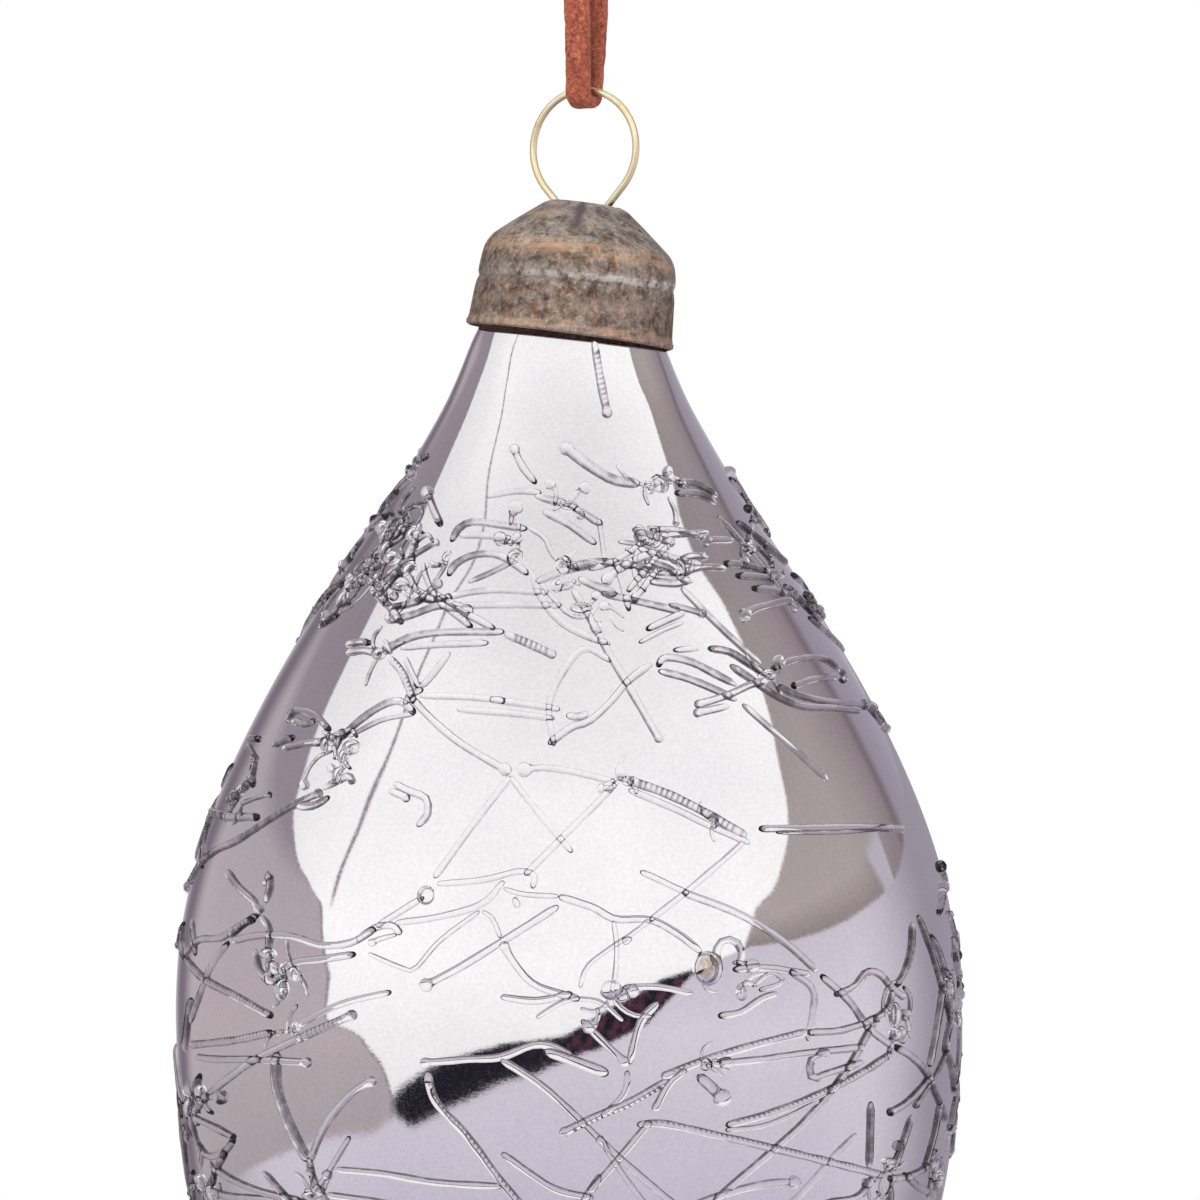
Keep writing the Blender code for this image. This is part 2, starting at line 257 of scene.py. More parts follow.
class Recipe:
    """Builds a node tree by short calls, each of which returns the socket that holds its result."""

    def __init__(self, tree):
        self.tree = tree

    def node(self, kind, **settings):
        made = self.tree.nodes.new(kind)
        for name, value in settings.items():
            setattr(made, name, value)
        return made

    def feed(self, socket, value):
        if isinstance(value, bpy.types.NodeSocket):
            self.tree.links.new(value, socket)
        else:
            socket.default_value = value

    def paint(self, **looks):
        """Gives the Principled shader's sockets their numbers or results."""
        shader = self.tree.nodes["Principled BSDF"]
        for name, value in looks.items():
            self.feed(shader.inputs[name.replace("_", " ")], value)

    def math(self, operation, *values, clamp=False):
        made = self.node("ShaderNodeMath", operation=operation, use_clamp=clamp)
        for socket, value in zip(made.inputs, values):
            self.feed(socket, value)
        return made.outputs[0]

    def share(self, first, second):
        """The product of two numbers, kept between 0 and 1."""
        return self.math("MULTIPLY", first, second, clamp=True)

    def apart(self, first, second):
        return self.math("ABSOLUTE", self.math("SUBTRACT", first, second))

    def span(self, value, low, high, start=0.0, end=1.0, smooth=False):
        """Takes value's run from low to high on to start to end."""
        kind = "SMOOTHSTEP" if smooth else "LINEAR"
        made = self.node("ShaderNodeMapRange", interpolation_type=kind, clamp=True)
        for socket, number in zip(made.inputs, (value, low, high, start, end)):
            self.feed(socket, number)
        return made.outputs[0]

    def ramp(self, value, stops):
        """A colour that follows value through (place, colour) stops."""
        made = self.node("ShaderNodeValToRGB")
        marks = made.color_ramp.elements
        while len(marks) < len(stops):
            marks.new(1.0)
        for mark, (place, colour) in zip(marks, stops):
            mark.position = place
            mark.color = (*colour, 1.0)
        self.feed(made.inputs[0], value)
        return made.outputs[0]

    def mix(self, factor, first, second, blend="MIX"):
        made = self.node("ShaderNodeMix", data_type="RGBA", blend_type=blend)
        self.feed(made.inputs["Factor"], factor)
        for name, value in (("A", first), ("B", second)):
            socket = next(s for s in made.inputs if s.name == name and s.type == "RGBA")
            self.feed(socket, value if isinstance(value, bpy.types.NodeSocket) else (*value, 1.0))
        return next(s for s in made.outputs if s.type == "RGBA")

    def tinted(self, colour, tint):
        return self.mix(1.0, colour, tint, "MULTIPLY")

    def noise(self, place, scale, detail=2.0, roughness=0.5):
        made = self.node("ShaderNodeTexNoise")
        self.feed(made.inputs["Vector"], place)
        made.inputs["Scale"].default_value = scale
        made.inputs["Detail"].default_value = detail
        made.inputs["Roughness"].default_value = roughness
        return made.outputs["Fac"]

    def cells(self, place, scale):
        """Distance to the nearest of points scattered through space."""
        made = self.node("ShaderNodeTexVoronoi")
        self.feed(made.inputs["Vector"], place)
        made.inputs["Scale"].default_value = scale
        return made.outputs["Distance"]

    def stretched(self, place, scale):
        made = self.node("ShaderNodeMapping")
        self.feed(made.inputs["Vector"], place)
        made.inputs["Scale"].default_value = scale
        return made.outputs[0]

    def bump(self, height, strength, distance, under=None):
        made = self.node("ShaderNodeBump")
        self.feed(made.inputs["Height"], height)
        made.inputs["Strength"].default_value = strength
        made.inputs["Distance"].default_value = distance
        if under:
            self.feed(made.inputs["Normal"], under)
        return made.outputs[0]

    def place(self):
        """Where the point is on the object at rest, in metres."""
        return self.node("ShaderNodeTexCoord").outputs["Object"]

    def stored(self, name):
        return self.node("ShaderNodeAttribute", attribute_name=name).outputs["Fac"]


def new_material(name, **settings):
    """A Principled material, with plain settings put on the shader's own sockets, and its recipe."""
    made = bpy.data.materials.new(name)
    made.use_nodes = True
    recipe = Recipe(made.node_tree)
    recipe.paint(**settings)
    return made, recipe


def silvered_glass():
    """Blown glass silvered from behind: a cool lilac mirror with cloudy patches, grain and specks."""
    made, recipe = new_material(
        "silvered_glass", Metallic=1.0, Coat_Weight=1.0, Coat_Roughness=0.01, Coat_IOR=1.5
    )
    place = recipe.place()
    cloud = recipe.noise(place, 70.0, 3.0)
    grain = recipe.noise(place, 2600.0, 2.0, 0.7)
    speck = recipe.span(recipe.cells(place, 62.0), 0.018, 0.03)
    tint = recipe.ramp(cloud, [(0.3, (0.895, 0.87, 0.90)), (0.7, (0.96, 0.94, 0.96))])
    grainy = recipe.mix(recipe.span(grain, 0.3, 0.7), (0.88, 0.88, 0.88), (1.0, 1.0, 1.0))
    fine = recipe.bump(grain, 0.06, 0.00002)
    recipe.paint(
        Base_Color=recipe.mix(speck, (0.05, 0.045, 0.05), recipe.tinted(tint, grainy)),
        Roughness=recipe.span(grain, 0.3, 0.7, 0.02, 0.06),
        Normal=recipe.bump(recipe.noise(place, 160.0, 1.0), 0.25, 0.00004, fine),
    )
    return made


def silvering_back():
    """The silver's own back, seen only inside the neck: dull and slightly brown."""
    made, recipe = new_material("silvering_back", Metallic=0.8)
    blotch = recipe.noise(recipe.place(), 300.0, 4.0, 0.65)
    recipe.paint(
        Base_Color=recipe.ramp(blotch, [(0.3, (0.28, 0.25, 0.24)), (0.7, (0.55, 0.52, 0.52))]),
        Roughness=recipe.span(blotch, 0.3, 0.7, 0.35, 0.6),
    )
    return made


def clear_glass():
    """The melted threads: clear, with a painted shade line where each side curls down to the drop."""
    made, recipe = new_material("clear_glass", Transmission_Weight=1.0, IOR=1.46, Specular_IOR_Level=0.5)
    place = recipe.place()
    # Painted shade: the threads' dark side lines, stored on their points, broken up by noise and coloured
    # by the outline ramp.
    broken = recipe.span(recipe.noise(place, 900.0, 2.0), 0.34, 0.56, 0.45, 1.0)
    shade = recipe.share(recipe.stored("side_dark"), broken)
    outline = [
        (0.0, (0.99, 0.985, 0.99)), (0.2, (0.72, 0.69, 0.72)), (0.5, (0.24, 0.21, 0.24)),
        (1.0, (0.045, 0.035, 0.04)),
    ]
    heart = [(0.42, (0.97, 0.93, 0.84)), (0.60, (0.52, 0.40, 0.27))]
    amber = recipe.ramp(recipe.noise(place, 950.0, 2.0), heart)
    recipe.paint(
        Base_Color=recipe.mix(recipe.stored("amber"), recipe.ramp(shade, outline), amber),
        Roughness=recipe.span(recipe.noise(place, 700.0), 0.3, 0.7, 0.0, 0.05),
        Normal=recipe.bump(recipe.noise(place, 1500.0, 1.0), 0.2, 0.00005),
    )
    return made


def gold_wire():
    """Brass-plated spring wire: bright, drawn lengthways, a little tarnished."""
    made, recipe = new_material("gold_wire", Metallic=1.0, Coat_Weight=0.3)
    place = recipe.place()
    tarnish = recipe.noise(place, 420.0, 4.0, 0.6)
    colours = [(0.28, (0.80, 0.60, 0.30)), (0.40, (1.0, 0.86, 0.50)), (0.75, (1.0, 0.95, 0.70))]
    recipe.paint(
        Base_Color=recipe.ramp(tarnish, colours),
        Roughness=recipe.span(tarnish, 0.3, 0.7, 0.42, 0.28),
        Normal=recipe.bump(recipe.noise(place, 3000.0, 2.0), 0.2, 0.00002),
    )
    return made


# The old cap's colours by its height, from the rim (0) to the crown (1), and what tints them.
PATINA = [
    (0.0, (0.38, 0.285, 0.24)), (0.06, (0.28, 0.205, 0.165)), (0.14, (0.21, 0.155, 0.125)),
    (0.30, (0.235, 0.175, 0.14)), (0.38, (0.21, 0.17, 0.145)), (0.46, (0.25, 0.215, 0.19)),
    (0.54, (0.215, 0.17, 0.14)), (0.61, (0.37, 0.265, 0.195)), (0.68, (0.37, 0.29, 0.235)),
    (0.74, (0.30, 0.275, 0.25)), (0.90, (0.30, 0.275, 0.255)), (1.0, (0.40, 0.37, 0.375)),
]
PATINA_HUES = [
    (0.36, (0.62, 0.50, 0.74)), (0.44, (0.80, 0.92, 0.78)), (0.52, (1.0, 0.98, 0.95)),
    (0.64, (1.45, 1.12, 0.78)),
]


def worn_brass():
    """Old cap brass: grey-brown patina in bands, bare copper on the rims, dust along the ledge, painted
    shade in the crown's crease.
    """
    made, recipe = new_material("worn_brass", Specular_IOR_Level=0.4)
    place = recipe.place()
    mottle = recipe.noise(place, 480.0, 4.0, 0.7)
    grit = recipe.noise(place, 1700.0, 3.0, 0.75)
    hue = recipe.noise(place, 1150.0, 3.0, 0.7)
    streaks = recipe.noise(recipe.stretched(place, (0.3, 0.3, 3.0)), 420.0, 3.0, 0.6)
    wander = recipe.span(mottle, 0.0, 1.0, -0.9, 0.9)
    height = recipe.span(recipe.math("ADD", recipe.stored("cap_height"), wander), 0.0, CROWN_HEIGHT)
    base = recipe.tinted(recipe.ramp(height, PATINA), recipe.ramp(hue, PATINA_HUES))
    stain = recipe.span(mottle, 0.36, 0.56)
    base = recipe.mix(stain, recipe.tinted(base, (0.55, 0.47, 0.46)), base)
    pit = recipe.span(grit, 0.36, 0.52)
    base = recipe.mix(pit, recipe.tinted(base, (0.50, 0.46, 0.44)), base)
    base = recipe.mix(recipe.span(grit, 0.56, 0.70, 0.0, 0.55), base, (0.53, 0.44, 0.36))
    copper = recipe.share(recipe.span(streaks, 0.44, 0.60), recipe.stored("cap_edge"))
    base = recipe.mix(recipe.share(copper, 0.6), base, (0.70, 0.46, 0.30))
    dust = recipe.share(recipe.span(mottle, 0.42, 0.56), recipe.stored("cap_dust"))
    base = recipe.mix(dust, base, (0.72, 0.67, 0.64))
    # Painted shade: dark purple-brown in the crown's crease and in a ring below its top.
    recipe.paint(
        Base_Color=recipe.mix(recipe.stored("cap_painted_shade"), base, (0.12, 0.085, 0.095)),
        Metallic=recipe.span(copper, 0.0, 1.0, 0.45, 0.85),
        Roughness=recipe.span(copper, 0.0, 1.0, 0.58, 0.40),
        Normal=recipe.bump(mottle, 0.35, 0.0002, recipe.bump(grit, 0.5, 0.00010)),
    )
    return made


def rust_suede():
    """Split leather: short matted nap, lighter where it is brushed, darker in its hollows."""
    made, recipe = new_material(
        "rust_suede",
        Sheen_Weight=0.35,
        Sheen_Roughness=0.5,
        Sheen_Tint=(0.95, 0.55, 0.42, 1.0),
        Specular_IOR_Level=0.15,
        Roughness=0.95,
    )
    place = recipe.place()
    nap = recipe.noise(place, 2300.0, 4.0, 0.8)
    patch = recipe.noise(recipe.stretched(place, (1.0, 1.0, 0.5)), 700.0, 3.0, 0.6)
    both = recipe.math("ADD", recipe.share(nap, 0.7), recipe.share(patch, 0.3))
    colours = [
        (0.37, (0.12, 0.032, 0.024)), (0.45, (0.24, 0.058, 0.037)), (0.53, (0.36, 0.095, 0.053)),
        (0.65, (0.58, 0.215, 0.13)),
    ]
    recipe.paint(Base_Color=recipe.ramp(both, colours), Normal=recipe.bump(both, 0.9, 0.00035))
    return made


# ---------------------------------------------------------------- lace


def flat_section(width, thickness, points):
    """A flat lace's section: a rectangle with soft corners, as a superellipse."""
    section = []
    for turn in angles(points):
        c, s = math.cos(turn), math.sin(turn)
        a = math.copysign(abs(c) ** 0.35, c) * width / 2
        b = math.copysign(abs(s) ** 0.5, s) * thickness / 2
        section.append((a, b))
    return section


def hand_cut(vertices):
    """Moves points a little, in long waves and short ones, as nap and hand-cut edges do."""
    for size, depth in ((1.3, 0.09), (0.35, 0.05)):
        vertices = [v + noise.noise_vector(v / size) * depth for v in vertices]
    return vertices


LACE_SECTION = flat_section(LACE_WIDTH - 0.1, LACE_THICK - 0.1, 28)


def strand_line(sign):
    """One strand of the loop, from beside the wire up to the knot."""
    points = [
        Vector((middle, 0.0, height - LOOP_DROP)) + THROUGH * sign * away
        for middle, away, height in [*STRANDS, (0.0, 1.0, LOOP_DROP + 1.4)]
    ]
    return smooth_line(points, LACE_STEP)


def lace_loop(material):
    """The loop from the knot down round the ring's wire and back, as one flat band."""
    bight_radius = STRANDS[0][1]
    bend_steps = 22
    bend = [
        CLIP_AXIS
        - UP * LOOP_DROP
        - THROUGH * bight_radius * math.cos(math.pi * k / bend_steps)
        - UP * bight_radius * math.sin(math.pi * k / bend_steps)
        for k in range(1, bend_steps)
    ]
    centres = [*reversed(strand_line(-1)), *bend, *strand_line(1)]
    vertices, faces = swept(centres, ACROSS, LACE_SECTION)
    shape = hand_cut(vertices), faces
    return closed_piece("suede_lace_loop", shape, material, None, "suede", "suede_lace"), centres


def knot_line():
    """An overhand knot's centre line: a trefoil whose right lobe is opened to the ends."""
    points = []
    for k in range(KNOT_STEPS + 1):
        t = math.pi + KNOT_GAP + (math.tau - 2 * KNOT_GAP) * k / KNOT_STEPS
        height = math.sin(t) + 2.0 * math.sin(2 * t)
        side = 2.0 * math.cos(2 * t) - math.cos(t)
        place = ACROSS * (side * 0.82 - 0.9) + UP * (height * 0.78 + KNOT_CENTRE_UP)
        points.append(place + THROUGH * -1.35 * math.sin(3 * t))
    return points


def lace_knot(material):
    """The overhand knot that closes the loop, tied in both strands together."""
    line = smooth_line([UP * 0.3, UP * 1.2, *knot_line(), UP * 7.6, UP * 8.3], 0.35)
    pair = [(a, b * 0.9 + 0.62) for a, b in flat_section(LACE_WIDTH - 0.3, 1.2, 20)]
    other = [(a, -b) for a, b in pair]
    vertices, faces = [], []
    for section in (pair, other):
        more, their_faces = swept(line, THROUGH, section)
        faces += [[i + len(vertices) for i in face] for face in their_faces]
        vertices += more
    return closed_piece("suede_knot", (hand_cut(vertices), faces), material, "knot", "suede", "lace_knot")


def lace_tail(name, sign, node, material):
    """A cut end of the lace, standing out of the top of the knot."""
    points = [UP * (KNOT_TOP - 1.5)] + [
        ACROSS * sign * away + THROUGH * sign * away * 0.3 + UP * (KNOT_TOP + 0.35 + height)
        for away, height in TAIL_REACH
    ]
    centres = smooth_line(points, LACE_STEP)
    slope = 0.8 * sign  # the cut runs a little askew
    vertices, faces = swept(centres, ACROSS, LACE_SECTION)
    top = max(v.z for v in vertices)
    for v in vertices:
        v.z -= smooth_step(top - 4.0, top, v.z) * slope * (v - centres[-1]).dot(ACROSS) / LACE_WIDTH
    return closed_piece(name, (hand_cut(vertices), faces), material, "knot", "suede", node)


def make_lace():
    noise.seed_set(LACE_SEED)
    material = rust_suede()
    lace, centres = lace_loop(material)
    knot = lace_knot(material)
    tails = [
        lace_tail("suede_tail_left", -1, "lace_tail_left", material),
        lace_tail("suede_tail_right", 1, "lace_tail_right", material),
    ]
    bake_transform(lace)
    run_lengths(centres)[-1] * MM
    [centre * MM for centre in centres]


# ---------------------------------------------------------------- clip


def clip_line():
    """The clip's centre line, foot to foot, as (sideways, height in the row frame) points."""
    centre_z = -LOOP_DROP - RING_RADIUS
    arc_points = 90
    start, sweep = -SHOULDER_SLANT, math.pi + 2 * SHOULDER_SLANT
    ring = []
    for k in range(arc_points + 1):
        turn = start + sweep * k / arc_points
        ring.append(Vector((RING_RADIUS * math.cos(turn), centre_z + RING_RADIUS * math.sin(turn))))
    run = (ring[0].x - HOLE_SIDE) / math.sin(SHOULDER_SLANT)
    entry = Vector((HOLE_SIDE, ring[0].y - run * math.cos(SHOULDER_SLANT)))
    leg = [(4.0, 72.0), (3.2, 81.0), (2.6, 88.0), (2.45, 90.2), (2.7, 91.1)]
    leg = [Vector((side, EQUATOR_Z + up)) for side, up in leg]
    right = smooth_line([*leg, entry, ring[0] * 0.6 + entry * 0.4], 0.4)
    left = [Vector((-point.x, point.y)) for point in reversed(right)]
    return [*right, *ring, *left]


def make_clip():
    """One length of wire: two spring legs, the bends under the crown and the open ring."""
    line = clip_line()
    centres = [CLIP_AXIS + ACROSS * point.x + UP * point.y for point in line]
    shape = swept(centres, THROUGH, circle(WIRE_RADIUS, 20))
    closed_piece("gold_wire_clip", shape, gold_wire(), "clip", "gold_wire", "wire_clip")


# ---------------------------------------------------------------- cap


def cap_matrix():
    place = CAP_RIM_CENTRE + UP * EQUATOR_Z
    return Matrix.Translation(place) @ Matrix.Rotation(CAP_LEAN, 4, "Y")


def hole_cutter(side):
    """An upright slot with round ends through the crown, for one shoulder of the clip."""
    reach = 2.0
    end_steps = 12
    radius = HOLE_WIDTH / 2
    shift = (HOLE_LENGTH - HOLE_WIDTH) / 2
    rim = []
    for start, sign in ((-90.0, 1), (90.0, -1)):
        for k in range(end_steps + 1):
            turn = math.radians(start + 180.0 * k / end_steps)
            rim.append((sign * shift + radius * math.cos(turn), radius * math.sin(turn)))
    crown = cap_matrix() @ Vector((0.0, 0.0, CROWN_HEIGHT))
    centre = CLIP_AXIS + ACROSS * HOLE_SIDE * side
    centre.z = crown.z - (centre.x - crown.x) * math.tan(CAP_LEAN)
    shape = swept([centre - UP * reach, centre + UP * reach], ACROSS, rim)
    cutter = new_piece(f"hole_cutter_{side}", *shape, None, None, None)
    outward_faces(cutter)
    return cutter


def cut_holes(cap):
    """Cuts the clip's two holes through the crown, and leaves no modifier or cutter behind."""
    cutters = [hole_cutter(side) for side in (-1, 1)]
    for cutter in cutters:
        cut = cap.modifiers.new("wire hole", "BOOLEAN")
        cut.operation = "DIFFERENCE"
        cut.solver = "EXACT"
        cut.object = cutter
    bpy.context.view_layer.update()
    evaluated = cap.evaluated_get(bpy.context.evaluated_depsgraph_get())
    cap.data = bpy.data.meshes.new_from_object(evaluated)
    cap.modifiers.clear()
    for cutter in cutters:
        bpy.data.objects.remove(cutter)


def dented(point):
    """The soft dents of a cap that has been handled, its ledge askew, and its crown's front crease."""
    height = point.z
    turn = math.atan2(point.x, -point.y)
    outward = Vector((point.x, point.y, 0.0)).normalized()
    soft = noise.noise(point / 5.5) * 0.14 + noise.noise(point / 1.6) * 0.035
    on_cone = smooth_step(10.2, 11.6, height) * smooth_step(15.4, 14.2, height)
    crease = hump(turn, CREASE_TURN, 0.09) * on_cone * 0.5
    hollow = hump(turn, 0.75, 0.35) * on_cone * 0.3
    steady = smooth_step(-0.5, 1.5, height)
    askew = UP * LEDGE_SLANT * point.x * hump(height, LEDGE_HEIGHT, 1.5)
    return point + outward * (min(soft, 0.03) * steady - crease - hollow) + askew


def make_cap():
    """The pressed cap: a rolled rim, a flared skirt, a ledge, a straight wall and a blunt crown."""
    outer = outline_line(CAP_OUTLINE, 0.35)
    flat = [(radius, CROWN_HEIGHT) for radius in (3.3, 2.7, 2.1, 1.5, 0.8)]
    inner = [
        (radius - CAP_WALL, min(height, CROWN_HEIGHT - CAP_WALL))
        for radius, height in outer
        if height > 0.25
    ]
    outline = [(0.0, CROWN_HEIGHT - CAP_WALL), *reversed(inner), *outer, *flat, (0.0, CROWN_HEIGHT)]
    vertices, faces = turned(outline, 144)
    vertices = [dented(v) for v in vertices]
    vertices = [cap_matrix() @ v for v in vertices]
    cap = new_piece("worn_brass_cap", vertices, faces, worn_brass(), None, None)
    outward_faces(cap)
    cut_holes(cap)
    local = [cap_matrix().inverted() @ (v.co / MM) for v in cap.data.vertices]
    point_values(cap, "cap_height", [p.z for p in local])
    # Where patina is rubbed off, where dust lies, and where painted shade darkens the crown's crease.
    for name, share in (("cap_edge", rubbed), ("cap_dust", dusty), ("cap_painted_shade", painted_shade)):
        point_values(cap, name, [share(p) for p in local])
    cap.data.shade_smooth()
    cap.data.set_sharp_from_angle(angle=math.radians(50))
    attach(cap, "cap")
    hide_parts("brass_cap")


def rubbed(point):
    """How far handling has rubbed the patina off: the rim, the shoulder, patches of the cone."""
    bands = [(0.7, 0.45, 0.9), (9.5, 0.75, 1.0), (2.8, 0.8, 0.2)]
    share = sum(worth * hump(point.z, at, wide) for at, wide, worth in bands)
    left_side = smooth_step(-1.0, -4.0, point.x) * smooth_step(11.2, 12.2, point.z)
    return min(1.0, share + 0.6 * left_side)


def dusty(point):
    """How much pale dust lies there: along the ledge, mostly at its right, and a little anywhere."""
    ledge = LEDGE_HEIGHT - 0.2 + LEDGE_SLANT * point.x
    return (0.6 + 0.05 * point.x) * hump(point.z, ledge, 0.32) + 0.1


def painted_shade(point):
    """How much painted shade darkens the crease down the front of the crown and the ring below its top.
    """
    turn = math.atan2(point.x, -point.y)
    line = hump(turn, CREASE_TURN, 0.10) * smooth_step(11.2, 12.2, point.z)
    return min(1.0, line + 0.5 * hump(point.z, 14.2, 0.4))


# ---------------------------------------------------------------- glass


GLASS_LINE = np.array(outline_line(GLASS_OUTLINE, 0.4))[::-1]


def glass_radius(up):
    return float(np.interp(up, GLASS_LINE[:, 1], GLASS_LINE[:, 0]))


def glass_point(degrees, up, clearance=0.0):
    """A point that far off the glass, in the row frame, and the glass's outward direction there."""
    slope = glass_radius(up + 0.5) - glass_radius(up - 0.5)
    turn = math.radians(degrees)
    outward = Vector((math.sin(turn), -math.cos(turn), 0.0))
    normal = (outward - UP * slope).normalized()
    place = outward * glass_radius(up) + UP * up
    swell = noise.noise(place / 19.0) * 0.10 + noise.noise(place / 8.0) * 0.022
    return place + normal * (swell + clearance) + UP * EQUATOR_Z, normal


def make_drop():
    """The blown shell: mouth-blown waves outside, a plain hollow inside, a solid drawn tip."""
    outer = outline_line(GLASS_OUTLINE, 1.1)
    hollow_end = [(7.4, -80.0), (3.4, -88.0), (0.0, -91.0)]
    inner = [(radius - GLASS_WALL, up) for radius, up in outer if up > hollow_end[0][1] + 4.0]
    lip = [(outer[0][0] - 0.85, 85.35), (outer[0][0] - 0.3, 85.35)]
    tip = [(1.6, -115.2), (0.9, -115.85), (0.0, TIP_END_UP)]
    outline = [*reversed([*inner, *hollow_end]), *lip, *outer, *tip]
    vertices, faces = turned(outline, GLASS_SIDES)
    first_outer = 1 + (len(inner) + len(hollow_end) - 1 + len(lip)) * GLASS_SIDES
    for i, v in enumerate(vertices):
        if i >= first_outer and v.z > TIP_END_UP + 2.5:
            vertices[i] = glass_point(math.degrees(math.atan2(v.x, -v.y)), v.z)[0]
        else:
            vertices[i] = v + UP * EQUATOR_Z
    shape = vertices, faces
    drop = closed_piece("silvered_drop", shape, silvered_glass(), "drop", "silvered_glass", "glass_drop")
    drop.data.materials.append(silvering_back())
    for face in drop.data.polygons:
        face.material_index = int(max(face.vertices) < first_outer - GLASS_SIDES)


# ---------------------------------------------------------------- glass threads

THREAD_SIDES = 16
THREAD_STEP = 0.9
THREAD_SINK = 0.12  # share of its radius that a thread's middle stands off the glass
THREAD_CROWD = 0.35  # how far a ring's points crowd to its two sides, in radians
THREAD_MELT = 1.1  # length over which a plain end thins and sinks into the drop
SHORTEST_THREAD = 0.8
END_RINGS = [0.04, 0.16, 0.34, 0.6, 0.95, 1.35, 1.8]  # how far rings lie from an end, to round it
# The dashes along a twisted thread are painted shade.
HATCH_PITCH = 0.62  # from one dark dash to the next along a twisted thread

# How thick a thread is, how dark its painted shade side lines are, from none to all of them, and its
# painted dashes.
KINDS = {
    "faint": {"radius": 0.36, "dark": 0.32},
    "fine": {"radius": 0.27, "dark": 0.85},
    "clear": {"radius": 0.41, "dark": 1.1},
    "dark": {"radius": 0.42, "dark": 1.5},
    "stout": {"radius": 0.58, "dark": 0.9},
    "ribbed": {"radius": 0.45, "dark": 1.0, "hatch": 1.3},
}


def ring_places(total, step):
    """Where a thread's rings lie along it: close together at its ends, a step apart between them."""
    ends = [away for away in END_RINGS if away < total / 2 - 0.1]
    start = ends[-1] if ends else 0.0
    count = max(1, round((total - 2 * start) / step))
    middle = [start + (total - 2 * start) * k / count for k in range(1, count)]
    return [0.0, *ends, *middle, *[total - away for away in reversed(ends)], total]


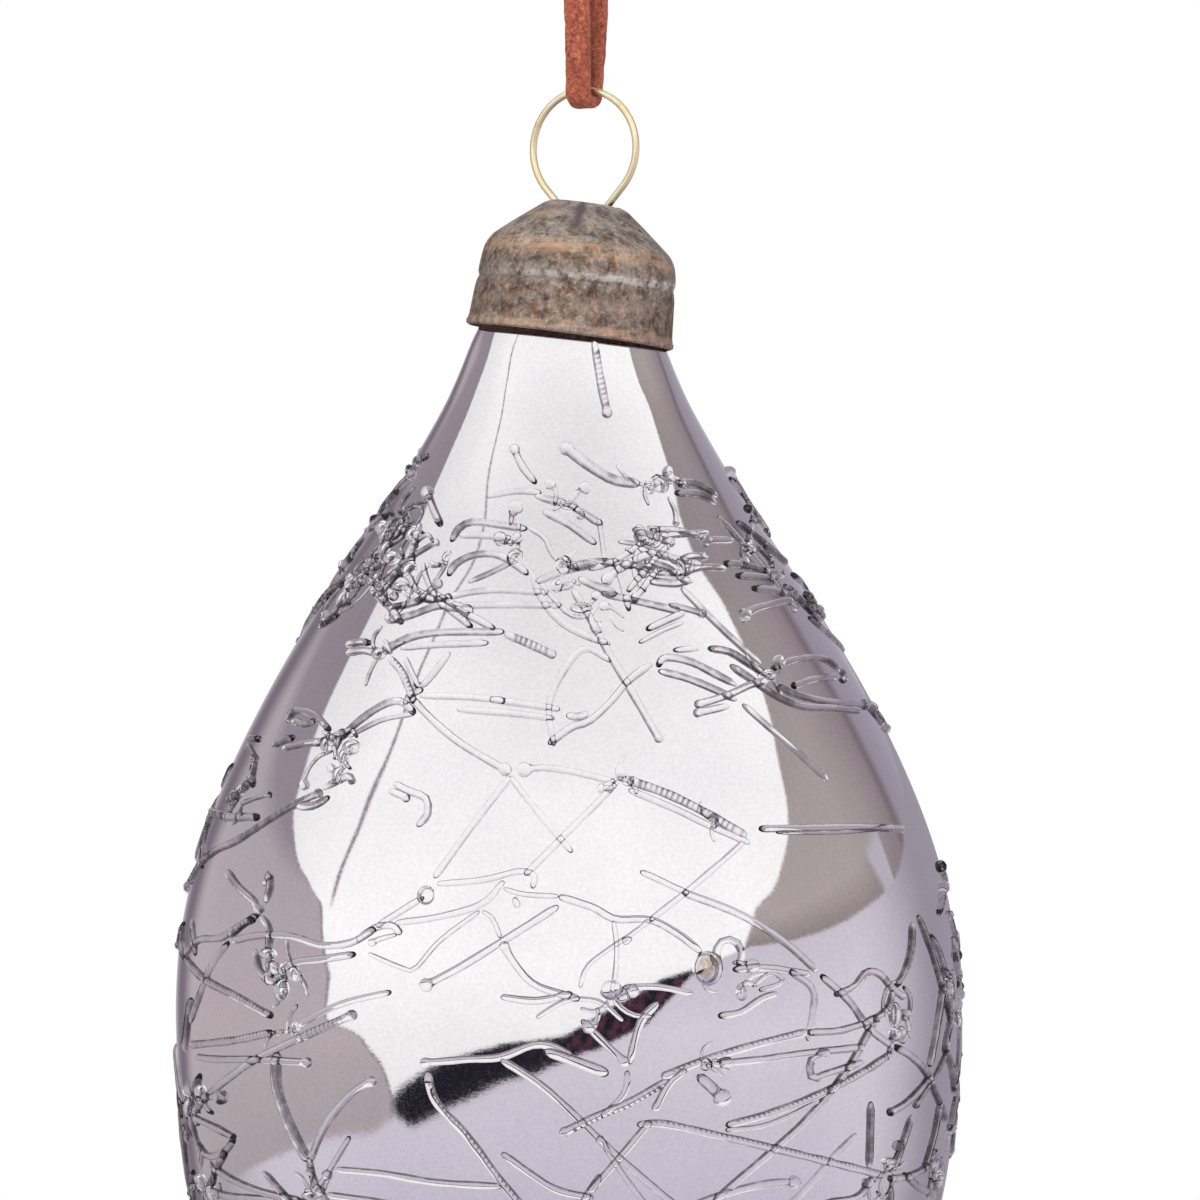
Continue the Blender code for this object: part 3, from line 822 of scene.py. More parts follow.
class Trail:
    """Gathers melted threads into one mesh, with how much painted shade and how amber each of its points
    is.
    """

    def __init__(self, seed):
        self.vertices, self.faces, self.side_dark, self.amber = [], [], [], []
        self.chance = random.Random(seed)

    def lay(self, threads):
        for kind, route, *beads in threads:
            self.thread(route, beads=beads or (0, 0), **KINDS[kind])

    def thread(self, route, radius, dark, beads=(0, 0), hatch=0.0):
        """One thread through (degrees, up) points, its ends melted in or swollen to beads."""
        spots = smooth_line([Vector(point) for point in route], 0.5)
        runs = run_lengths([glass_point(spot.x, spot.y)[0] for spot in spots])
        total = runs[-1]
        if total < SHORTEST_THREAD:
            return
        phase = self.chance.uniform(0.0, 90.0)
        rings = []
        for s in ring_places(total, HATCH_PITCH / 4 if hatch else THREAD_STEP):
            spot = Vector([np.interp(s, runs, [p[axis] for p in spots]) for axis in (0, 1)])
            wide = radius * (1.0 + 0.16 * noise.noise(Vector((s / 2.2, phase, 0.0))))
            lift, open_end = THREAD_SINK, 1.0
            for near, bead in zip((s, total - s), beads):
                if bead and near < 2 * bead:
                    round_part = math.sqrt(max(0.0, bead**2 - (near - bead) ** 2))
                    wide = max(round_part, wide if near > bead else 0.12 * bead)
                elif not bead:
                    melted = 1.0 - smooth_step(0.0, THREAD_MELT, near)
                    tip = max(0.0, 1.0 - near / radius)
                    wide *= (1.0 - 0.2 * melted) * math.sqrt(max(0.02, 1.0 - tip**2))
                    lift -= 0.3 * melted
                    open_end *= 1.0 - melted
            # Painted shade of the side lines: patchy along the thread, weaker where it swells to a bead,
            # fading out at a melted end.
            patch = 0.6 * noise.noise(Vector((s / 2.6, phase, 7.0)))
            shade = min(1.0, max(0.0, dark + patch)) * min(1.0, radius / wide) ** 3 * open_end
            dash = hatch * max(0.0, math.sin(math.tau * s / HATCH_PITCH))
            rings.append((spot, wide, lift * wide, shade, dash))
        self.tube(rings)

    def tube(self, rings):
        """Skins rings of (place, radius, height off the glass, painted shade, painted dash across)."""
        first = len(self.vertices)
        placed = [glass_point(spot.x, spot.y, lift) for spot, _, lift, _, _ in rings]
        last = len(rings) - 1
        for i, ((centre, normal), (spot, wide, _, dark, dash)) in enumerate(zip(placed, rings)):
            tangent = (placed[min(i + 1, last)][0] - placed[max(i - 1, 0)][0]).normalized()
            side = tangent.cross(normal).normalized()
            # Painted shade is weaker on threads about 84 degrees round, at the drop's sides as seen from
            # the front.
            pale = 1.0 - 0.5 * hump(abs((spot.x + 180.0) % 360.0 - 180.0), 84.0, 18.0)
            for turn in angles(THREAD_SIDES):
                turn += THREAD_CROWD * math.sin(2 * turn)
                a, b = math.cos(turn), math.sin(turn)
                self.vertices.append(centre + normal * wide * a + side * wide * b)
                # Painted shade along both side lines, stronger on the upper side, with painted dashes on
                # one side of a twisted thread, and none on the part facing the glass.
                upper = b * side.z
                edge = smooth_step(0.68 - 0.12 * upper, 0.94 - 0.08 * upper, abs(b))
                line = max((1.0 + 0.4 * upper) * edge, dash * smooth_step(0.0, 0.4, -b))
                self.side_dark.append(dark * pale * line if a > -0.6 else 0.0)
                self.amber.append(0.0)
        self.faces += tube_faces(first, len(rings), THREAD_SIDES)

    def bubble(self, degrees, up, wide, high, dark=0.8, amber=0.0):
        """An oval blister of clear glass lying on the drop, with an amber heart if asked for."""
        sides, levels = 24, 9
        centre, normal = glass_point(degrees, up)
        east = UP.cross(normal).normalized()
        north = normal.cross(east)
        first = len(self.vertices)
        for level in range(levels):
            fall = math.radians(4.0 + 110.0 * level / (levels - 1))
            out, lift = math.sin(fall), math.cos(fall) * 0.6 * wide
            # Painted shade: a dark line round the blister's rim, and a second dark ring round an amber
            # heart.
            rim = smooth_step(0.9, 0.98, out) + 0.8 * hump(out, 0.62, 0.1) * (amber > 0)
            for turn in angles(sides):
                flat = east * math.cos(turn) * wide + north * math.sin(turn) * high
                self.vertices.append(centre + flat * out + normal * lift)
                self.side_dark.append(dark * min(1.0, rim))
                self.amber.append(amber * smooth_step(0.66, 0.5, out) * (fall < 1.5))
        self.faces += tube_faces(first, levels, sides)

    def wandering(self, degrees, up, heading, length, bend, **kind):
        """A thread from a place, setting off at a heading (from level, in degrees) and curving."""
        route = [(degrees, up)]
        stride = min(3.0, length / 3)
        for _ in range(max(3, round(length / stride))):
            heading += bend * stride + self.chance.gauss(0.0, 3.5)
            degrees += math.degrees(stride * math.cos(math.radians(heading)) / glass_radius(up))
            up = min(70.0, max(-106.0, up + stride * math.sin(math.radians(heading))))
            route.append((degrees, up))
        self.thread(route, **kind)

    def random_kind(self, beaded=0.3):
        chance = self.chance
        radius = chance.uniform(0.3, 0.48)
        beads = [
            radius * chance.uniform(1.4, 1.8) if chance.random() < beaded else 0.0 for _ in range(2)
        ]
        hatch = 0.9 if chance.random() < 0.12 else 0.0
        dark = chance.choice((0.3, 0.6, 0.8, 1.1))
        return {"radius": radius, "dark": dark, "beads": beads, "hatch": hatch}

    def scatter(self, count, turns, heights, lengths, slant):
        """Threads laid anywhere in a zone: (degrees) turns, heights up, lengths, spread of slants."""
        for _ in range(count):
            degrees, up = self.chance.uniform(*turns), self.chance.uniform(*heights)
            heading = self.chance.gauss(0.0, slant) + self.chance.choice((0.0, 180.0))
            length = self.chance.uniform(*lengths)
            bend = self.chance.gauss(0.0, 1.6)
            self.wandering(degrees, up, heading, length, bend, **self.random_kind())

    def tangle(self, degrees, up, size, count):
        """Thin curled threads and clear blisters melted together."""
        for k in range(count):
            around = math.degrees(self.chance.gauss(0.0, size / 2.2) / glass_radius(up))
            place = (degrees + around, up + self.chance.gauss(0.0, size / 3))
            if k % 3 == 1:
                wide, high = self.chance.uniform(0.6, 1.3), self.chance.uniform(0.5, 1.2)
                self.bubble(*place, wide, high, dark=0.25)
            heading = self.chance.uniform(0.0, 360.0)
            length = self.chance.uniform(2.2, 1.3 * size + 1.5)
            bend = self.chance.choice((-1, 1)) * self.chance.uniform(8.0, 45.0)
            kind = self.random_kind(0.2)
            kind["radius"] *= 0.6
            kind["dark"] *= 0.7
            self.wandering(*place, heading, length, bend, **kind)

    def tangles(self, *places):
        """Tangles at (degrees, up, size, number of threads) places."""
        for place in places:
            self.tangle(*place)

    def curl(self, degrees, up, size):
        """A thread curled into a small open ring."""
        route = []
        for k in range(9):
            turn = math.radians(-60 + 290 * k / 8)
            around = math.degrees(size * math.cos(turn) / glass_radius(up))
            route.append((degrees + around, up + size * math.sin(turn)))
        self.thread(route, **KINDS["dark"])

    def finish(self, name, material, nodes):
        piece = new_piece(name, self.vertices, self.faces, material, "drop", "clear_glass", crease=80.0)
        # How much painted shade and how amber each point is, for the material to read.
        point_values(piece, "side_dark", self.side_dark)
        point_values(piece, "amber", self.amber)
        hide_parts(*nodes)


# Threads that the front shows: kind, (degrees round from the front, height up) points, and, where
# an end has a bead, the bead's radius at the first and the last point.
SHOULDER_THREADS = [
    ("ribbed", [(16, 76), (17, 72), (18, 67.4)], 0, 0.6),
    ("stout", [(-2, 64.4), (8, 62), (16, 60.4), (25, 60)], 0.8, 0),
    ("clear", [(-21, 64.3), (-16, 62), (-10, 60)], 0.6, 0),
    ("dark", [(39, 60.2), (46, 60.2), (52, 59.6), (57, 58.7)]),
    ("clear", [(37, 59), (46, 59), (51, 58.6), (54, 57.8)]),
    ("fine", [(34, 58.6), (34.5, 57), (33, 55.4)], 0, 0.4),
    ("dark", [(-10, 58.7), (-5, 58.2), (0, 57.9)]),
    ("faint", [(-26, 58.6), (-16, 59.2), (-8, 59)]),
    ("clear", [(-2, 58), (4, 57), (10, 55.4)]),
    ("clear", [(-7, 57), (1, 55.4), (8, 53.3)]),
    ("dark", [(-75, 62.6), (-64, 63.4)], 0.6, 0),
    ("fine", [(-62, 57.4), (-54, 58), (-48, 58.2)]),
]
BAND_THREADS = [
    ("dark", [(-33, 53.6), (-32, 55.2), (-28, 55.8), (-20, 55.5), (-11, 55)]),
    ("faint", [(-31, 54.3), (-24, 54.3), (-15, 54)]),
    ("fine", [(-11, 55.2), (-6, 54), (-4, 52.4), (-1, 51)], 0, 0.4),
    ("clear", [(-30, 49.8), (-29, 51.2), (-24, 52.2), (-17, 52), (-9, 50)]),
    ("faint", [(-30, 47.4), (-18, 48.3), (-4, 48)]),
    ("faint", [(-27, 46.6), (-13, 46.7), (-1, 46.6)]),
    ("dark", [(-46, 50.4), (-49, 49), (-48, 47.4)], 0.4, 0),
    ("clear", [(-49, 50), (-43, 50), (-38, 48.4), (-32, 47.3), (-28, 47)]),
    ("dark", [(-43.5, 46.3), (-39, 46.7), (-35, 47.3), (-31.5, 49.4)], 0.5, 0.6),
    ("dark", [(-36, 47.5), (-31, 47.2), (-27, 47.6)]),
    ("clear", [(-43.5, 46), (-42, 45), (-36, 45.6), (-29, 46.6), (-21, 45.4), (-15, 44)]),
    ("dark", [(-52.5, 42.3), (-48, 42.6), (-44.5, 42.5)]),
    ("clear", [(-51, 41.4), (-46, 41.7), (-41, 41.3)], 0, 0.5),
    ("dark", [(-39, 42), (-34, 43.2), (-27, 43.7), (-13, 43.8)], 0.5, 0),
    ("ribbed", [(-13, 43.6), (-8, 42.6), (-2, 41.2)], 0, 0.5),
    ("faint", [(-36, 42), (-26, 42.4), (-16, 42.6)]),
    ("fine", [(9.5, 56), (9.6, 53.6), (9.8, 51.4)], 0.4, 0.4),
    ("clear", [(0, 50.8), (8, 51.4), (16, 51), (24, 50.7)]),
    ("dark", [(20, 51.4), (25, 50.9), (28, 50.1)], 0, 0.4),
    ("dark", [(30, 51.5), (34, 52), (39.5, 52)], 0, 0.5),
    ("clear", [(17, 50.7), (27, 50.1), (36, 50.8), (44, 50.7)]),
    ("dark", [(44, 51.3), (52, 51), (60, 50.4), (69, 50.1)], 0, 0.6),
    ("clear", [(46, 49.9), (56, 49.8), (64, 49.6)], 0, 0.5),
    ("dark", [(26, 55.1), (30, 54.6)]),
    ("fine", [(14, 53.6), (20, 53.2), (27, 52)], 0, 0.4),
    ("dark", [(15.6, 52.8), (18, 52.3)]),
    ("clear", [(20, 49.2), (27, 49), (31, 49.5)], 0, 0.5),
    ("faint", [(12, 52), (13.4, 49), (14, 46)]),
    ("clear", [(8, 48), (17, 47), (26, 46)], 0, 0.4),
    ("dark", [(17, 44), (22, 45), (27, 45.9)]),
    ("fine", [(15, 42.6), (21, 44), (26, 44.8)]),
    ("dark", [(60, 56), (68, 54), (75, 52.4), (82, 51.2)]),
    ("dark", [(66, 49), (71, 47), (78, 44.6)]),
    ("faint", [(28, 48.6), (33, 45.4), (38, 42.4), (42, 40.2)]),
    ("clear", [(1.5, 48.4), (5, 45.4), (8.5, 41.6), (12, 37.6), (16.4, 32)], 0, 0.5),
    ("faint", [(-9, 50.6), (-6, 47.6), (-1, 44.8), (4, 43.4), (9, 42.4)]),
    ("fine", [(-6, 49), (-3, 47.4), (1, 45.6), (5, 45.4)]),
    ("faint", [(-2, 31.6), (-3, 36), (0, 40), (4, 42), (9, 40.6)]),
    ("clear", [(-3, 31.8), (1, 33.6), (4, 34.2), (8, 36.2), (12, 38.6), (17, 40.4)]),
    ("dark", [(0, 34.9), (2, 34.7), (4, 35)], 0, 0.4),
    ("dark", [(18, 40), (20, 41), (25, 40.6), (30, 39.2), (34, 38)]),
    ("clear", [(18, 39.6), (23, 38.9), (28, 37.8), (33, 36.4)]),
    ("faint", [(22, 41.8), (28, 42)]),
    ("dark", [(30, 42), (35, 41.6), (39, 40.2), (43.5, 38.6)]),
    ("clear", [(34, 40.2), (38, 38.6), (42, 37), (48, 35.7), (58, 35.4), (70, 35)]),
    ("clear", [(24, 35.9), (31, 36.9), (37, 38), (42, 38.5)], 0.5, 0),
    ("dark", [(23.4, 35), (26, 35.3), (31, 35.8)], 0.5, 0),
    ("clear", [(44, 39.6), (50, 40.5), (58, 40.9), (66, 40.6), (70, 39.4)]),
    ("dark", [(70.5, 40), (71, 38.8), (68, 38.3)], 0, 0.4),
    ("clear", [(48, 37.8), (55, 38.5), (66, 38.8)], 0.4, 0),
    ("dark", [(44, 37.8), (49, 36.8), (57, 36.1), (66, 35.8), (77, 35.6)], 0.4, 0),
    ("faint", [(34, 36), (38, 33.6), (43, 30.6), (48, 27.6)]),
    ("dark", [(76, 35.8), (80, 34.4), (84, 32.6)], 0.5, 0.6),
]
BELLY_THREADS = [
    ("ribbed", [(-38, 41), (-34, 39.6), (-31, 37.8), (-28.6, 36)]),
    ("clear", [(-29.4, 36.6), (-24, 34.2), (-18, 31.8), (-9, 28.8)], 0, 0.7),
    ("dark", [(-30.4, 35.8), (-30, 37), (-27.6, 37.6)]),
    ("clear", [(-43, 32), (-40, 34), (-36, 35.7), (-32, 36.3), (-28, 35)]),
    ("fine", [(-41, 32.4), (-35, 34.2), (-28, 35)]),
    ("faint", [(-28, 36.9), (-18, 36.8), (-9, 36.2), (-1, 35.5)]),
    ("dark", [(-14, 36.6), (-11, 36.4)]),
    ("faint", [(-20, 35.5), (-10, 35.1), (-2, 34.5)]),
    ("faint", [(-34, 41), (-30, 38.6), (-28, 38), (-24, 41.6)]),
    ("dark", [(-61, 33.8), (-60, 35), (-56, 35.1), (-51, 34.4), (-46, 33)]),
    ("clear", [(-59, 34), (-54, 33.7), (-51, 34.2)]),
    ("dark", [(-62, 31.3), (-59, 31.7), (-55.6, 32.3)], 0.4, 0),
    ("dark", [(-78, 31.8), (-70, 31.9)], 0, 0.4),
    ("clear", [(-58, 31), (-50, 31.7), (-46, 31.8)]),
    ("dark", [(-49, 31.5), (-45, 32.2), (-42, 33)], 0, 0.5),
    ("dark", [(-76, 31.2), (-71, 30.4), (-67, 29.6), (-65.6, 28), (-63, 26.7)]),
    ("dark", [(-65, 27.4), (-68, 26), (-72, 25)], 0, 0.6),
    ("fine", [(-66, 24.7), (-60, 25.6), (-56, 26)], 0, 0.4),
    ("dark", [(-84, 15.6), (-78, 17.8), (-70, 19.6), (-62, 20.9), (-55, 23),
              (-49, 24.9), (-43, 26.5)], 0, 0.5),
    ("clear", [(-48, 24.8), (-44, 25), (-41, 26)]),
    ("clear", [(-43, 26.8), (-40, 27.8), (-38, 28.2), (-37, 27.4)], 0, 0.45),
    ("dark", [(-83, 24), (-85, 21), (-86, 18)], 0.4, 0),
    ("dark", [(-29.6, 26.8), (-27, 26.3), (-25.6, 25.8)], 0, 0.5),
    ("clear", [(-29, 27.6), (-26, 26.8), (-22.6, 26), (-22, 24.4), (-23.4, 23)]),
    ("faint", [(-8, 29), (-4, 29.3), (1, 28.9), (8, 27.8)], 0.8, 0),
    ("ribbed", [(10, 28), (16, 26.6), (22, 24.6), (28.6, 21.9)], 0.6, 0.4),
    ("faint", [(10, 27), (17, 25), (23, 23), (29, 21.2)]),
    ("clear", [(31, 22.7), (42, 22.6), (54, 22.5), (67, 22)]),
    ("fine", [(34, 22.3), (46, 22.1), (62, 22.3)]),
    ("faint", [(28, 21.4), (22, 18.4), (17, 15.8), (12, 13.2)]),
    ("faint", [(-9, 28.4), (-14, 23.6), (-19.6, 17.6)]),
    ("faint", [(-9, 28.4), (-4, 24.4), (1, 20.4)]),
    ("faint", [(8, 27.6), (1, 23), (-6, 18)]),
    ("faint", [(11, 18.4), (14, 17.4), (18, 16)]),
    ("clear", [(17, 16.2), (26, 13.6), (33, 10.4), (38, 7.4)]),
    ("clear", [(38.6, 7), (44, 4), (48, 1), (54, -1.4)]),
    ("clear", [(-1, 15.8), (4, 14.6), (7, 13.4), (12, 13.3), (16, 11.8), (19.4, 9.8)]),
    ("fine", [(6.8, 13.3), (7.2, 10.6), (7, 8), (6.6, 5.2), (9, 3.4), (12, 3.1)]),
    ("fine", [(2, 6.2), (3, 8.4), (6, 10.2), (9, 11.6), (12, 13.2)], 0, 0.4),
    ("dark", [(8, 10.9), (9.4, 11.4)], 0.45, 0),
    ("faint", [(8, 6.2), (13, 6.2), (18, 5.4)]),
    ("clear", [(-20.6, 6), (-15, 8.2), (-9, 11), (-1, 14.8)], 0.75, 0),
    ("clear", [(-9, 11), (-7, 8.6), (-4, 6.4), (2, 5)], 0.6, 0),
    ("fine", [(-12, 14.2), (-10.4, 13.4), (-9.2, 11.4)]),
    ("fine", [(-29, 9.5), (-24, 8.2), (-21.6, 8), (-18, 11), (-12.4, 14.2)]),
    ("clear", [(-31, 10.8), (-28, 12.3), (-25.4, 12.5), (-24, 11.6)], 0, 0.4),
    ("fine", [(-29, 10.4), (-27.6, 11), (-24.6, 11.6)], 0.45, 0),
    ("faint", [(-28, 12.4), (-24, 14.2), (-21, 15.6)]),
    ("faint", [(-25, 12.8), (-18, 13.6), (-12, 15), (-9, 17.4)]),
    ("faint", [(-19, 17), (-12, 17.5), (-7, 18.4), (-4.6, 18), (-4.8, 16.6)]),
    ("fine", [(-9, 16.6), (-6, 16), (-1, 15.8)]),
    ("dark", [(-7.4, 15.7), (-6.8, 14.6)], 0, 0.4),
    ("dark", [(-63, 17.6), (-58, 16), (-53, 14.6), (-50.5, 13.2)], 0, 0.6),
    ("clear", [(-76, 8), (-69, 9.8), (-61, 10.3), (-56, 11.6), (-51, 13.2)]),
    ("ribbed", [(-58, 10.6), (-54, 12.2), (-51.6, 12.6)]),
    ("clear", [(-57, 10.1), (-50, 10.9), (-43, 11), (-37, 10.2), (-32, 10.6), (-28, 12.2)]),
    ("dark", [(-51, 16.2), (-50.4, 17.4), (-49.4, 16.4), (-49.8, 14.4)]),
    ("clear", [(-50.4, 13), (-48, 11.6), (-47.6, 9), (-46.6, 6.4)]),
    ("dark", [(-50.8, 9.4), (-49.6, 7.6), (-47.6, 6)]),
    ("clear", [(-45, 7), (-42, 8.2), (-37, 8.7), (-31, 9.4)]),
    ("faint", [(-70.6, 0.6), (-67, 3.4), (-63, 7), (-58, 10)]),
]
FRONT_LOW_THREADS = [
    ("ribbed", [(-84, 11), (-79, 8.4), (-71, 6.8), (-64, 5.5), (-55, 4.2), (-46, 2.3)]),
    ("ribbed", [(-70, -1.8), (-62, -1.2), (-54, -0.5), (-46, 0.6)], 0.5, 0),
    ("clear", [(-68, -3), (-60, -2.9), (-50, -2.5), (-38.6, -2.4)], 0, 0.6),
    ("dark", [(-71, -9.4), (-65, -7.4), (-57, -4.8), (-50, -2.5), (-40, 0.3)], 0, 0.5),
    ("ribbed", [(-41, 0), (-36, 1.5), (-30.6, 3.1)], 0, 0.6),
    ("faint", [(-41, 1.4), (-37, 2.9), (-32, 4.3), (-25, 5.5)]),
    ("dark", [(-67, -7.2), (-62, -7.1), (-58.6, -7)], 0, 0.85),
    ("stout", [(-45.2, -1.4), (-45.5, -5), (-43.4, -9), (-40, -13.2)]),
    ("clear", [(-39.8, -12.6), (-39.4, -14.8), (-37.6, -17), (-35, -20.6)]),
    ("clear", [(-39.8, -13.2), (-37.4, -10.2), (-34.6, -7.6), (-31, -5.2), (-27.6, -3.9)], 0, 0.6),
    ("dark", [(-71, -9.8), (-63, -10.4), (-56.4, -11.3)], 0, 0.4),
    ("clear", [(-56.4, -11.4), (-60, -13), (-66, -13.8), (-71, -12.4), (-73, -9.6)]),
    ("dark", [(-59, -12.8), (-62, -14.4), (-66, -16.6), (-70, -19)]),
    ("clear", [(-64, -15), (-57, -16.2), (-50, -17), (-42, -17.5)]),
    ("dark", [(-68, -17.6), (-60, -17.9), (-50, -17.7), (-43, -18), (-40, -16.6)], 0, 0.5),
    ("dark", [(-50, -14.7), (-47.4, -16), (-43.6, -18.2)], 0, 0.5),
    ("clear", [(-52, -18), (-47, -19.2), (-40, -21.4)]),
    ("clear", [(-35, -13.8), (-27, -14), (-19, -14.7), (-9, -15)]),
    ("clear", [(-37, -16.6), (-28, -17.1), (-17, -18), (-5, -17.6)]),
    ("faint", [(-28, -18.4), (-16, -19.2), (-8, -19)]),
    ("ribbed", [(-19.6, -2.8), (-18.4, -6), (-14, -9.6), (-9, -14.6), (-3.6, -19.4)]),
    ("clear", [(-20.6, -2), (-14, -1.5), (-9, -1.2), (-3.6, 0.2), (1, -1)], 0.6, 0),
    ("clear", [(-9, -1.4), (-4, -3.8), (0, -6.4), (4, -9.4), (8, -12.2), (14, -16), (19.4, -19)]),
    ("stout", [(-3, -0.4), (2, -1.8), (6, -3)]),
    ("clear", [(-9, -11.4), (-5, -13.6), (-1, -15.4), (4, -16.2)]),
    ("clear", [(2.2, 2.8), (5, 0.6), (8.8, -2.1)], 0, 0.6),
    ("clear", [(13, 4.6), (10.4, 2.4), (8.8, -2)]),
    ("faint", [(8.6, -2.6), (8.2, -5), (5, -7.6)]),
    ("dark", [(-9, 5.2), (-4, 4.8), (1, 5.6)]),
    ("fine", [(-4, 3), (-0.6, 4.6), (2, 5), (5, 4.6), (8, 2.6)]),
    ("dark", [(21.6, 3), (25, 3.3), (28.4, 4.7), (31, 5.2)]),
    ("clear", [(24, 7.9), (30, 7.9), (36.6, 7.1)], 0, 0.4),
    ("fine", [(27, 6), (30, 7.4), (32, 6.4), (28, 5.6)]),
    ("faint", [(33, 7.6), (37, 5.6), (37, 3), (36, 0)]),
    ("clear", [(41, 4.8), (45, 5.5), (48, 7), (51, 6.7), (54, 5), (57, 3.9)], 0, 0.4),
    ("dark", [(61.4, 12), (59.8, 9), (57, 6.4), (54.4, 5.2)]),
    ("clear", [(54, 5), (52.6, 3), (49, 1.4), (44, -3), (37, -8), (30, -12), (24, -15.4), (19, -19)]),
    ("clear", [(36, 0.9), (43, 1), (52, 2.4)]),
    ("ribbed", [(13.4, -3.4), (20, -1.6), (28, -0.1), (36, 1)], 0.5, 0),
    ("clear", [(19, -2.2), (28, -1.8), (36, -1.3), (47, -1)], 0.5, 0),
    ("clear", [(47, -2.6), (40, -3.6), (37, -4), (36.8, -2), (40, -1.3)]),
    ("ribbed", [(23, -8.7), (30, -7.6), (38, -5.9), (46, -4), (54, -1.8)]),
    ("fine", [(23, -9.2), (30, -8.7), (40, -6)]),
    ("ribbed", [(14.6, -3.6), (9, -6), (4, -7.6), (-0.8, -9.4)], 0, 0.6),
    ("clear", [(17, -2.6), (14.6, -4), (13.4, -5.6), (12.4, -7)], 0, 0.5),
    ("stout", [(18.6, -3.2), (20.8, -4.6), (23.3, -6.4)], 0, 1.0),
    ("ribbed", [(10, -8.4), (14, -8.4), (22, -9.8), (32, -11.6), (42, -13.4), (54, -15.4)]),
    ("dark", [(12, -8), (8, -11.6), (3.4, -15.6)], 0, 0.4),
    ("dark", [(49, -7), (49.3, -10), (49.8, -14.4)]),
    ("clear", [(53.4, -8.5), (58, -7.6), (62, -6.3), (66, -4.8)], 0.5, 0),
    ("dark", [(54, -1.2), (59, -2.6), (64, -4.6), (68, -7), (75, -10.6)]),
    ("dark", [(76, 1.6), (71.6, -2), (76, -4.4), (81, -8)]),
    ("clear", [(60, -9), (58, -12), (56, -15)]),
    ("clear", [(70.6, -8), (69, -11.6), (66, -15.6)]),
    ("dark", [(55, -15.8), (62, -15.7), (70, -14.8)], 0, 0.6),
    ("clear", [(59, -15.4), (66, -17.4), (74, -18.6)]),
    ("clear", [(51, -15.2), (48, -17.3), (42, -17.7), (37, -18.6), (32, -21.4)]),
    ("dark", [(56, -16.6), (56.6, -21)]),
    ("clear", [(21, -19.4), (28, -18.9), (33.8, -18.6)], 0, 0.75),
    ("faint", [(2, -18.2), (9, -18.2), (18, -18.9)]),
    ("faint", [(2, -19.2), (10, -19.4), (20, -20)]),
    ("dark", [(1.6, -16.4), (1.4, -18.4), (-1, -21)]),
]


def shoulder_threads():
    trail = Trail(11)
    trail.lay(SHOULDER_THREADS)
    trail.tangles((32, 60.0, 3.2, 6), (-5, 57.6, 2.4, 3))
    trail.scatter(9, (75, 285), (57, 67), (4, 9), 30)
    return trail


def band_threads():
    """The thick band of threads and nests round the drop, below its shoulder."""
    trail = Trail(12)
    trail.lay(BAND_THREADS)
    trail.tangles((-56, 53, 6.0, 14), (-66, 49, 5.0, 8), (-44, 51, 3.6, 6), (-33, 51.8, 1.6, 3))
    trail.tangles((-15, 53, 2.4, 4), (-2, 50.6, 2.4, 4), (6, 46, 2.4, 4), (23, 54, 3.0, 4))
    trail.tangles((28, 50.4, 2.0, 3), (-40, 41.5, 1.8, 4), (43, 38.4, 1.8, 3), (60, 54, 3.0, 4))
    trail.scatter(12, (-62, -30), (47, 56), (4, 9), 26)
    trail.scatter(14, (-24, 40), (46, 56), (4, 10), 22)
    trail.scatter(95, (62, 298), (43, 58), (4, 14), 24)
    return trail


def back_threads():
    trail = Trail(15)
    trail.scatter(58, (95, 262), (-6, 42), (10, 32), 34)
    trail.scatter(34, (100, 262), (-30, -4), (10, 30), 40)
    return trail


def belly_threads():
    trail = Trail(13)
    trail.lay(BELLY_THREADS)
    trail.tangles((-44, 31.4, 3.4, 8), (-39.6, 28, 1.4, 2), (-69, 25, 2.2, 4), (9, 28, 1.8, 4))
    trail.tangles((-47, 8, 2.8, 5), (-43.6, 5.6, 2.8, 5), (26, 6.6, 2.4, 4), (23, 23.6, 1.4, 2))
    trail.bubble(20.3, 8.1, 1.75, 1.95, dark=1.0, amber=1.0)
    trail.bubble(-20.6, 15.8, 1.05, 1.1)
    trail.bubble(-44.4, 5.2, 1.1, 1.3)
    trail.bubble(-47.8, 8.4, 0.8, 1.4)
    trail.curl(23.6, 9.6, 1.5)
    trail.scatter(4, (-86, -66), (8, 40), (5, 12), 40)
    trail.scatter(4, (80, 95), (10, 36), (4, 8), 40)
    return trail


def taper_threads():
    trail = Trail(16)
    trail.scatter(100, (0, 360), (-62, -23), (9, 28), 42)
    trail.scatter(40, (0, 360), (-96, -60), (5, 15), 50)
    return trail


def lower_threads():
    trail = Trail(14)
    trail.lay(FRONT_LOW_THREADS)
    trail.tangles((-43, 1, 2.2, 4), (5, 4.2, 2.4, 4), (53, 1.4, 3.2, 7), (20, -19, 2.2, 4))
    trail.tangles((54, -15.6, 3.0, 7), (-72, -8, 3.4, 6), (-70, -17, 3.0, 5), (-39, -17.6, 2.4, 5))
    trail.tangles((19.6, -2.2, 1.4, 3), (82, 2, 6.0, 6), (74, -16, 4.0, 6))
    trail.bubble(-14.6, -17.5, 0.75, 0.7, dark=1.0)
    trail.bubble(54.4, 2.2, 1.0, 1.4)
    trail.scatter(14, (72, 104), (-24, 9), (6, 14), 60)
    trail.scatter(14, (-104, -72), (-24, 4), (6, 14), 60)
    return trail


